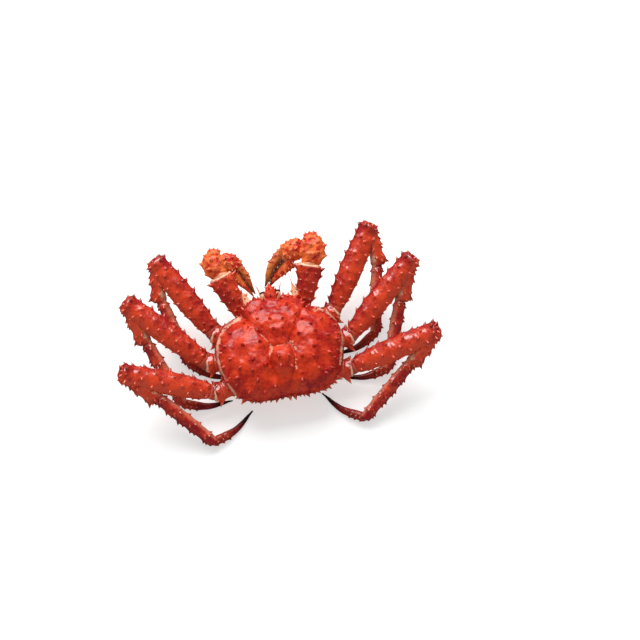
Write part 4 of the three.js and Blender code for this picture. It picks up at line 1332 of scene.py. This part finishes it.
def make_mouthparts():
    """The folded mouth limbs, in pairs over a rounded throat. Each is jointed, and bristled along
    the edge towards the middle."""
    build = Build()
    throat = sphere_rings(40, 60) * THROAT_SIZE + THROAT_MIDDLE
    throat = throat + grid_normals(throat) * (0.5 * ripple(throat, 9, 68))[..., None]
    middle, height = np.array(THROAT_MIDDLE, float), THROAT_SIZE[2]
    build.tube(throat, middle - [0, 0, height], middle + [0, 0, height], 0.2, 0.2)
    spines = row(90, 5, 0.12, 0.85, 1.7) + row(60, 4, 0.2, 0.8, 1.4) + row(120, 4, 0.2, 0.8, 1.4)
    for sign in (-1, 1):
        for number, (path, radii) in enumerate(MOUTH_LIMBS):
            seed = 70 + 5 * number
            thin = [0.75 * radius for radius in radii]
            jaw = Limb(mirrored(path, sign), (-1, 0, 0), radii, thin, thin)
            add_limb(build, jaw, spines, 90, 44, ("dome", 2), ("dome", 1.6), 0.12, seed, under=0.3,
                     girdles=MOUTH_JOINTS,
                     warm=lambda t, angle: 0.1 + 0.6 * np.abs(np.sin(7 * t)) + 0 * angle)
            draw = np.random.default_rng(seed)
            place, turned = draw.uniform(0.15, 0.97, MOUTH_BRISTLES), draw.uniform(-50, 50, MOUTH_BRISTLES)
            inner_edge = 0 if sign > 0 else 180
            feet, out, ahead = jaw.foot(place, inner_edge + turned)
            add_spines(build, feet, out, ahead, draw.uniform(1.0, 2.4, MOUTH_BRISTLES), 0.2, 4, 0.9)
    build.piece("mouthparts", MOUTH_SHELL, "underside", "mouthparts")


CHEST_MIDDLE = 4
CHEST_HALF_LENGTH = 49
CHEST_HALF_WIDTH = 44
CHEST_SEAMS = (-24, -8, 9, 24)

# Share of the chest's size at each level, from its top to its underside
CHEST_LEVELS = [
    (0.02, 37.5), (0.5, 37.6), (0.93, 37.6), (0.985, 35.5), (1, 33), (1, 27), (1, 22), (0.955, 17),
    (0.88, 13), (0.76, 10), (0.62, 8), (0.4, 7.8), (0.02, 7.6)]


def make_chest():
    """The chest under the shell: oval rings stacked by level, drawn in towards the underside, and
    grooved between the plates of each pair of legs."""
    build = Build()
    rows, columns = 110, 180
    level = through(CHEST_LEVELS, np.linspace(0, 1, rows))
    angle = turns(columns)[None]
    share, height = level[:, :1], level[:, 1:]
    x = -CHEST_HALF_WIDTH * (1 - 0.1 * np.cos(angle)) * np.sin(angle) * share
    y = CHEST_MIDDLE - CHEST_HALF_LENGTH * np.cos(angle) * share
    points = np.stack([x, y, height + 0 * angle], -1)
    normals = grid_normals(points)
    inside = [0, CHEST_MIDDLE, 23]
    normals = normals * np.sign((normals * (points - inside)).sum(-1).mean())
    seams = sum(bell(y - place + 0.15 * np.abs(x), 0.9) for place in CHEST_SEAMS)
    seams = seams * smoothstep(0.5, 0.9, share) * smoothstep(36, 30, height)
    points = points + normals * (0.3 * ripple(points, 10, 81) - 0.9 * seams)[..., None]
    bottom, top = (np.array([0, CHEST_MIDDLE, CHEST_LEVELS[end][1]]) for end in (-1, 0))
    build.tube(points[::-1], bottom, top, 0.35)
    build.piece("chest", BELLY, "underside", "chest")


TAIL_PATH = [(0, -44, 35), (0, -47, 21), (0, -43, 8), (0, -30, 3.7), (0, -4, 3.7), (0, 24, 3.9)]
TAIL_WIDTHS = [41, 39, 35, 29, 21, 10]
TAIL_DEPTH = 4
TAIL_ROUNDNESS = 0.85

# Where each plate of the tail starts, and the knobs on its hind edge and strewn over it
TAIL_PLATES = [0.0, 0.12, 0.26, 0.42, 0.58, 0.74, 0.88]
EDGE_KNOBS = 14
STREWN_KNOBS = 30


def make_tail():
    """The tail folded under the chest: a broad flat limb along its path, whose plates each rise
    towards a knobbed hind edge, and level where the animal rests on it. Its section is an oval whose
    sine is taken to the power TAIL_ROUNDNESS."""
    depth = [TAIL_DEPTH] * len(TAIL_PATH)
    tail = Limb(TAIL_PATH, (1, 0, 0), TAIL_WIDTHS, depth, depth)
    rows, columns = 220, 150
    t = np.linspace(0, 1, rows)[:, None]
    angle = turns(columns)[None]
    centre, _, back, side = tail.frames(t[:, 0])
    across = through(tail.width, t) * np.cos(angle)
    rounded = np.sign(np.sin(angle)) * np.abs(np.sin(angle)) ** TAIL_ROUNDNESS
    points = (centre[:, None] + side[:, None] * across[..., None]
              + back[:, None] * (TAIL_DEPTH * rounded * np.ones_like(t))[..., None])
    normals = grid_normals(points)
    bowed = t + 0.02 * (across / 30) ** 2
    start = np.max([np.where(bowed >= plate, plate, 0) for plate in TAIL_PLATES], axis=0)
    end = np.min([np.where(bowed < plate, plate, 1.0) for plate in TAIL_PLATES + [1.0]], axis=0)
    rise = (bowed - start) / (end - start)
    seams = bell(np.abs(across) - 13 - 1.5 * np.sin(9 * t), 0.7) * smoothstep(0.1, 0.3, t)
    upright = 1 - smoothstep(0.2, 0.36, t)
    lift = 1.6 * rise ** 2 - 1.0 * bell(rise, 0.05) - 0.8 * seams + 0.2 * ripple(points, 8, 91)
    lift += upright * (2.6 * bell(across, 15) + 0.9 * bell(np.abs(across) - 21, 4) - 1.2)
    outside = smoothstep(-0.2, 0.3, np.sin(angle))
    points = points + normals * (lift * outside)[..., None]
    points[..., 0] *= 0.93 + 0.07 * np.sqrt(np.clip(rise, 0, 1)) - 0.05 * smoothstep(0.85, 1, rise)
    points[..., 2] = np.maximum(points[..., 2], 0.0)
    pale = 0.75 * smoothstep(10, 3, points[..., 2]) + 0.25 * bell(rise - 1, 0.12)
    build = Build()
    # The dark mark at the start of each plate, in the groove under the plate before it, is painted shade
    # in that crease.
    build.tube(points, tail.at(0.0) + [0, 0, 0.8], tail.at(1.0) + [0, 0.8, 0], pale,
               0.35 * bell(rise, 0.06))

    draw = np.random.default_rng(92)
    knobs = []
    for plate in TAIL_PLATES[1:4]:
        knobs += [(plate - 0.012, degrees) for degrees in np.linspace(20, 160, EDGE_KNOBS)]
        knobs += [(plate - draw.uniform(0.03, 0.11), draw.uniform(22, 158)) for _ in range(STREWN_KNOBS)]
    place, degrees = np.array(knobs).T
    on_edge = np.arange(len(knobs)) % (EDGE_KNOBS + STREWN_KNOBS) < EDGE_KNOBS
    heights = np.where(on_edge, 2.6, 1.4) * draw.uniform(0.75, 1.2, len(knobs))
    feet, out, ahead = tail.foot(place, degrees)
    keep = feet[:, 2] > 6
    feet, out, ahead, heights = feet[keep], out[keep], ahead[keep], heights[keep]
    add_spines(build, feet + out, out, ahead, heights, 0.5 * heights + 0.5, 8, 0.3)
    build.piece("tail", TAIL_SHELL, "underside", "tail")


# The animal

CLAW_SEEDS = {"left": 200, "right": 220}
LEG_SEEDS = {"left": 300, "right": 400}
SEEDS_PER_LEG = 10

make_back_shell()
make_chest()
make_tail()
make_mouthparts()
for side in ("left", "right"):
    make_eye(side)
    make_antenna(side)
    make_claw(side, CLAW_SEEDS[side])
    for number, pair in enumerate(("front", "middle", "rear")):
        make_leg(side, pair, LEG_SEEDS[side] + SEEDS_PER_LEG * number)


# Floor, light and camera

ROOM_LIGHT = 0.27
FLOOR_SHADE = 0.55
FLOOR_GLOW = 0.5
FLOOR_REACH = 2.5
WALL_BEND = 3.5

# Each light's place in millimetres, its width and height in metres, its watts, and whether
# reflections show it
LIGHT_AIM = (0, 20, 20)
LIGHTS = {
    "key": ((-60, 1000, 1250), 1.7, 1.0, 38, True),
    "top": ((0, -200, 2200), 2.4, 2.4, 6, False),
}


def make_floor():
    """A pale floor, level round the animal, that curves up into a wall all round: the radius grows
    and the height rises as 1 - cos of the turn. It glows a little, as paper lit from behind does."""
    rows, columns = 20, 64
    turn = np.linspace(0, math.pi / 2, rows)[:, None]
    radius = FLOOR_REACH + WALL_BEND * np.sin(turn)
    height = WALL_BEND * (1 - np.cos(turn))
    angle = turns(columns)
    rings = np.stack([radius * np.cos(angle), radius * np.sin(angle), height + 0 * angle], -1)
    points = np.vstack([[[0, 0, 0]], rings.reshape(-1, 3)])
    quads, tris = tube_faces(rows, columns)
    facing_in = [face[::-1] for face in tris[:columns].tolist() + quads.tolist()]
    mesh = bpy.data.meshes.new("floor")
    mesh.from_pydata(points.tolist(), [], facing_in)
    mesh.shade_smooth()
    material = bpy.data.materials.new("Pale floor")
    material.use_nodes = True
    shader = material.node_tree.nodes["Principled BSDF"]
    shader.inputs["Base Color"].default_value = (FLOOR_SHADE, FLOOR_SHADE, FLOOR_SHADE, 1)
    shader.inputs["Roughness"].default_value = 0.8
    shader.inputs["Emission Color"].default_value = (1, 1, 1, 1)
    shader.inputs["Emission Strength"].default_value = FLOOR_GLOW
    mesh.materials.append(material)
    floor = bpy.data.objects.new("floor", mesh)
    bpy.context.scene.collection.objects.link(floor)
    floor.visible_glossy = False


def look_at(thing, place, aim):
    """Puts a light or the camera at a place in millimetres, facing another."""
    thing.location = Vector(place) * MM
    toward = Vector(aim) * MM - thing.location
    thing.rotation_euler = toward.to_track_quat("-Z", "Y").to_euler()


def add_area(name, place, width, height, power, in_reflections):
    """A soft rectangular light that faces the animal."""
    light = bpy.data.lights.new(name, "AREA")
    light.shape = "RECTANGLE"
    light.size, light.size_y = width, height
    light.energy = power
    lamp = bpy.data.objects.new(name, light)
    lamp.visible_glossy = in_reflections
    bpy.context.scene.collection.objects.link(lamp)
    look_at(lamp, place, LIGHT_AIM)


def make_studio():
    """The light: a large soft box above and beyond the head, a weaker one overhead, and a pale room
    that reflections don't show."""
    for name, values in LIGHTS.items():
        add_area(name, *values)
    world = bpy.data.worlds.new("Studio")
    world.use_nodes = True
    background = world.node_tree.nodes["Background"]
    background.inputs["Color"].default_value = (1, 1, 1, 1)
    background.inputs["Strength"].default_value = ROOM_LIGHT
    world.cycles_visibility.glossy = False
    bpy.context.scene.world = world
    bpy.context.scene.view_settings.view_transform = "Standard"


def make_camera():
    """The camera, with the focal length that the photograph's perspective gives."""
    data = bpy.data.cameras.new("camera")
    data.sensor_width = SENSOR
    data.lens = SENSOR * FOCAL_PIXELS / PHOTO_SIZE
    data.clip_start = 0.05
    camera = bpy.data.objects.new("camera", data)
    bpy.context.scene.collection.objects.link(camera)
    look_at(camera, CAMERA_PLACE, CAMERA_AIM)
    bpy.context.scene.camera = camera


make_floor()
make_studio()
make_camera()
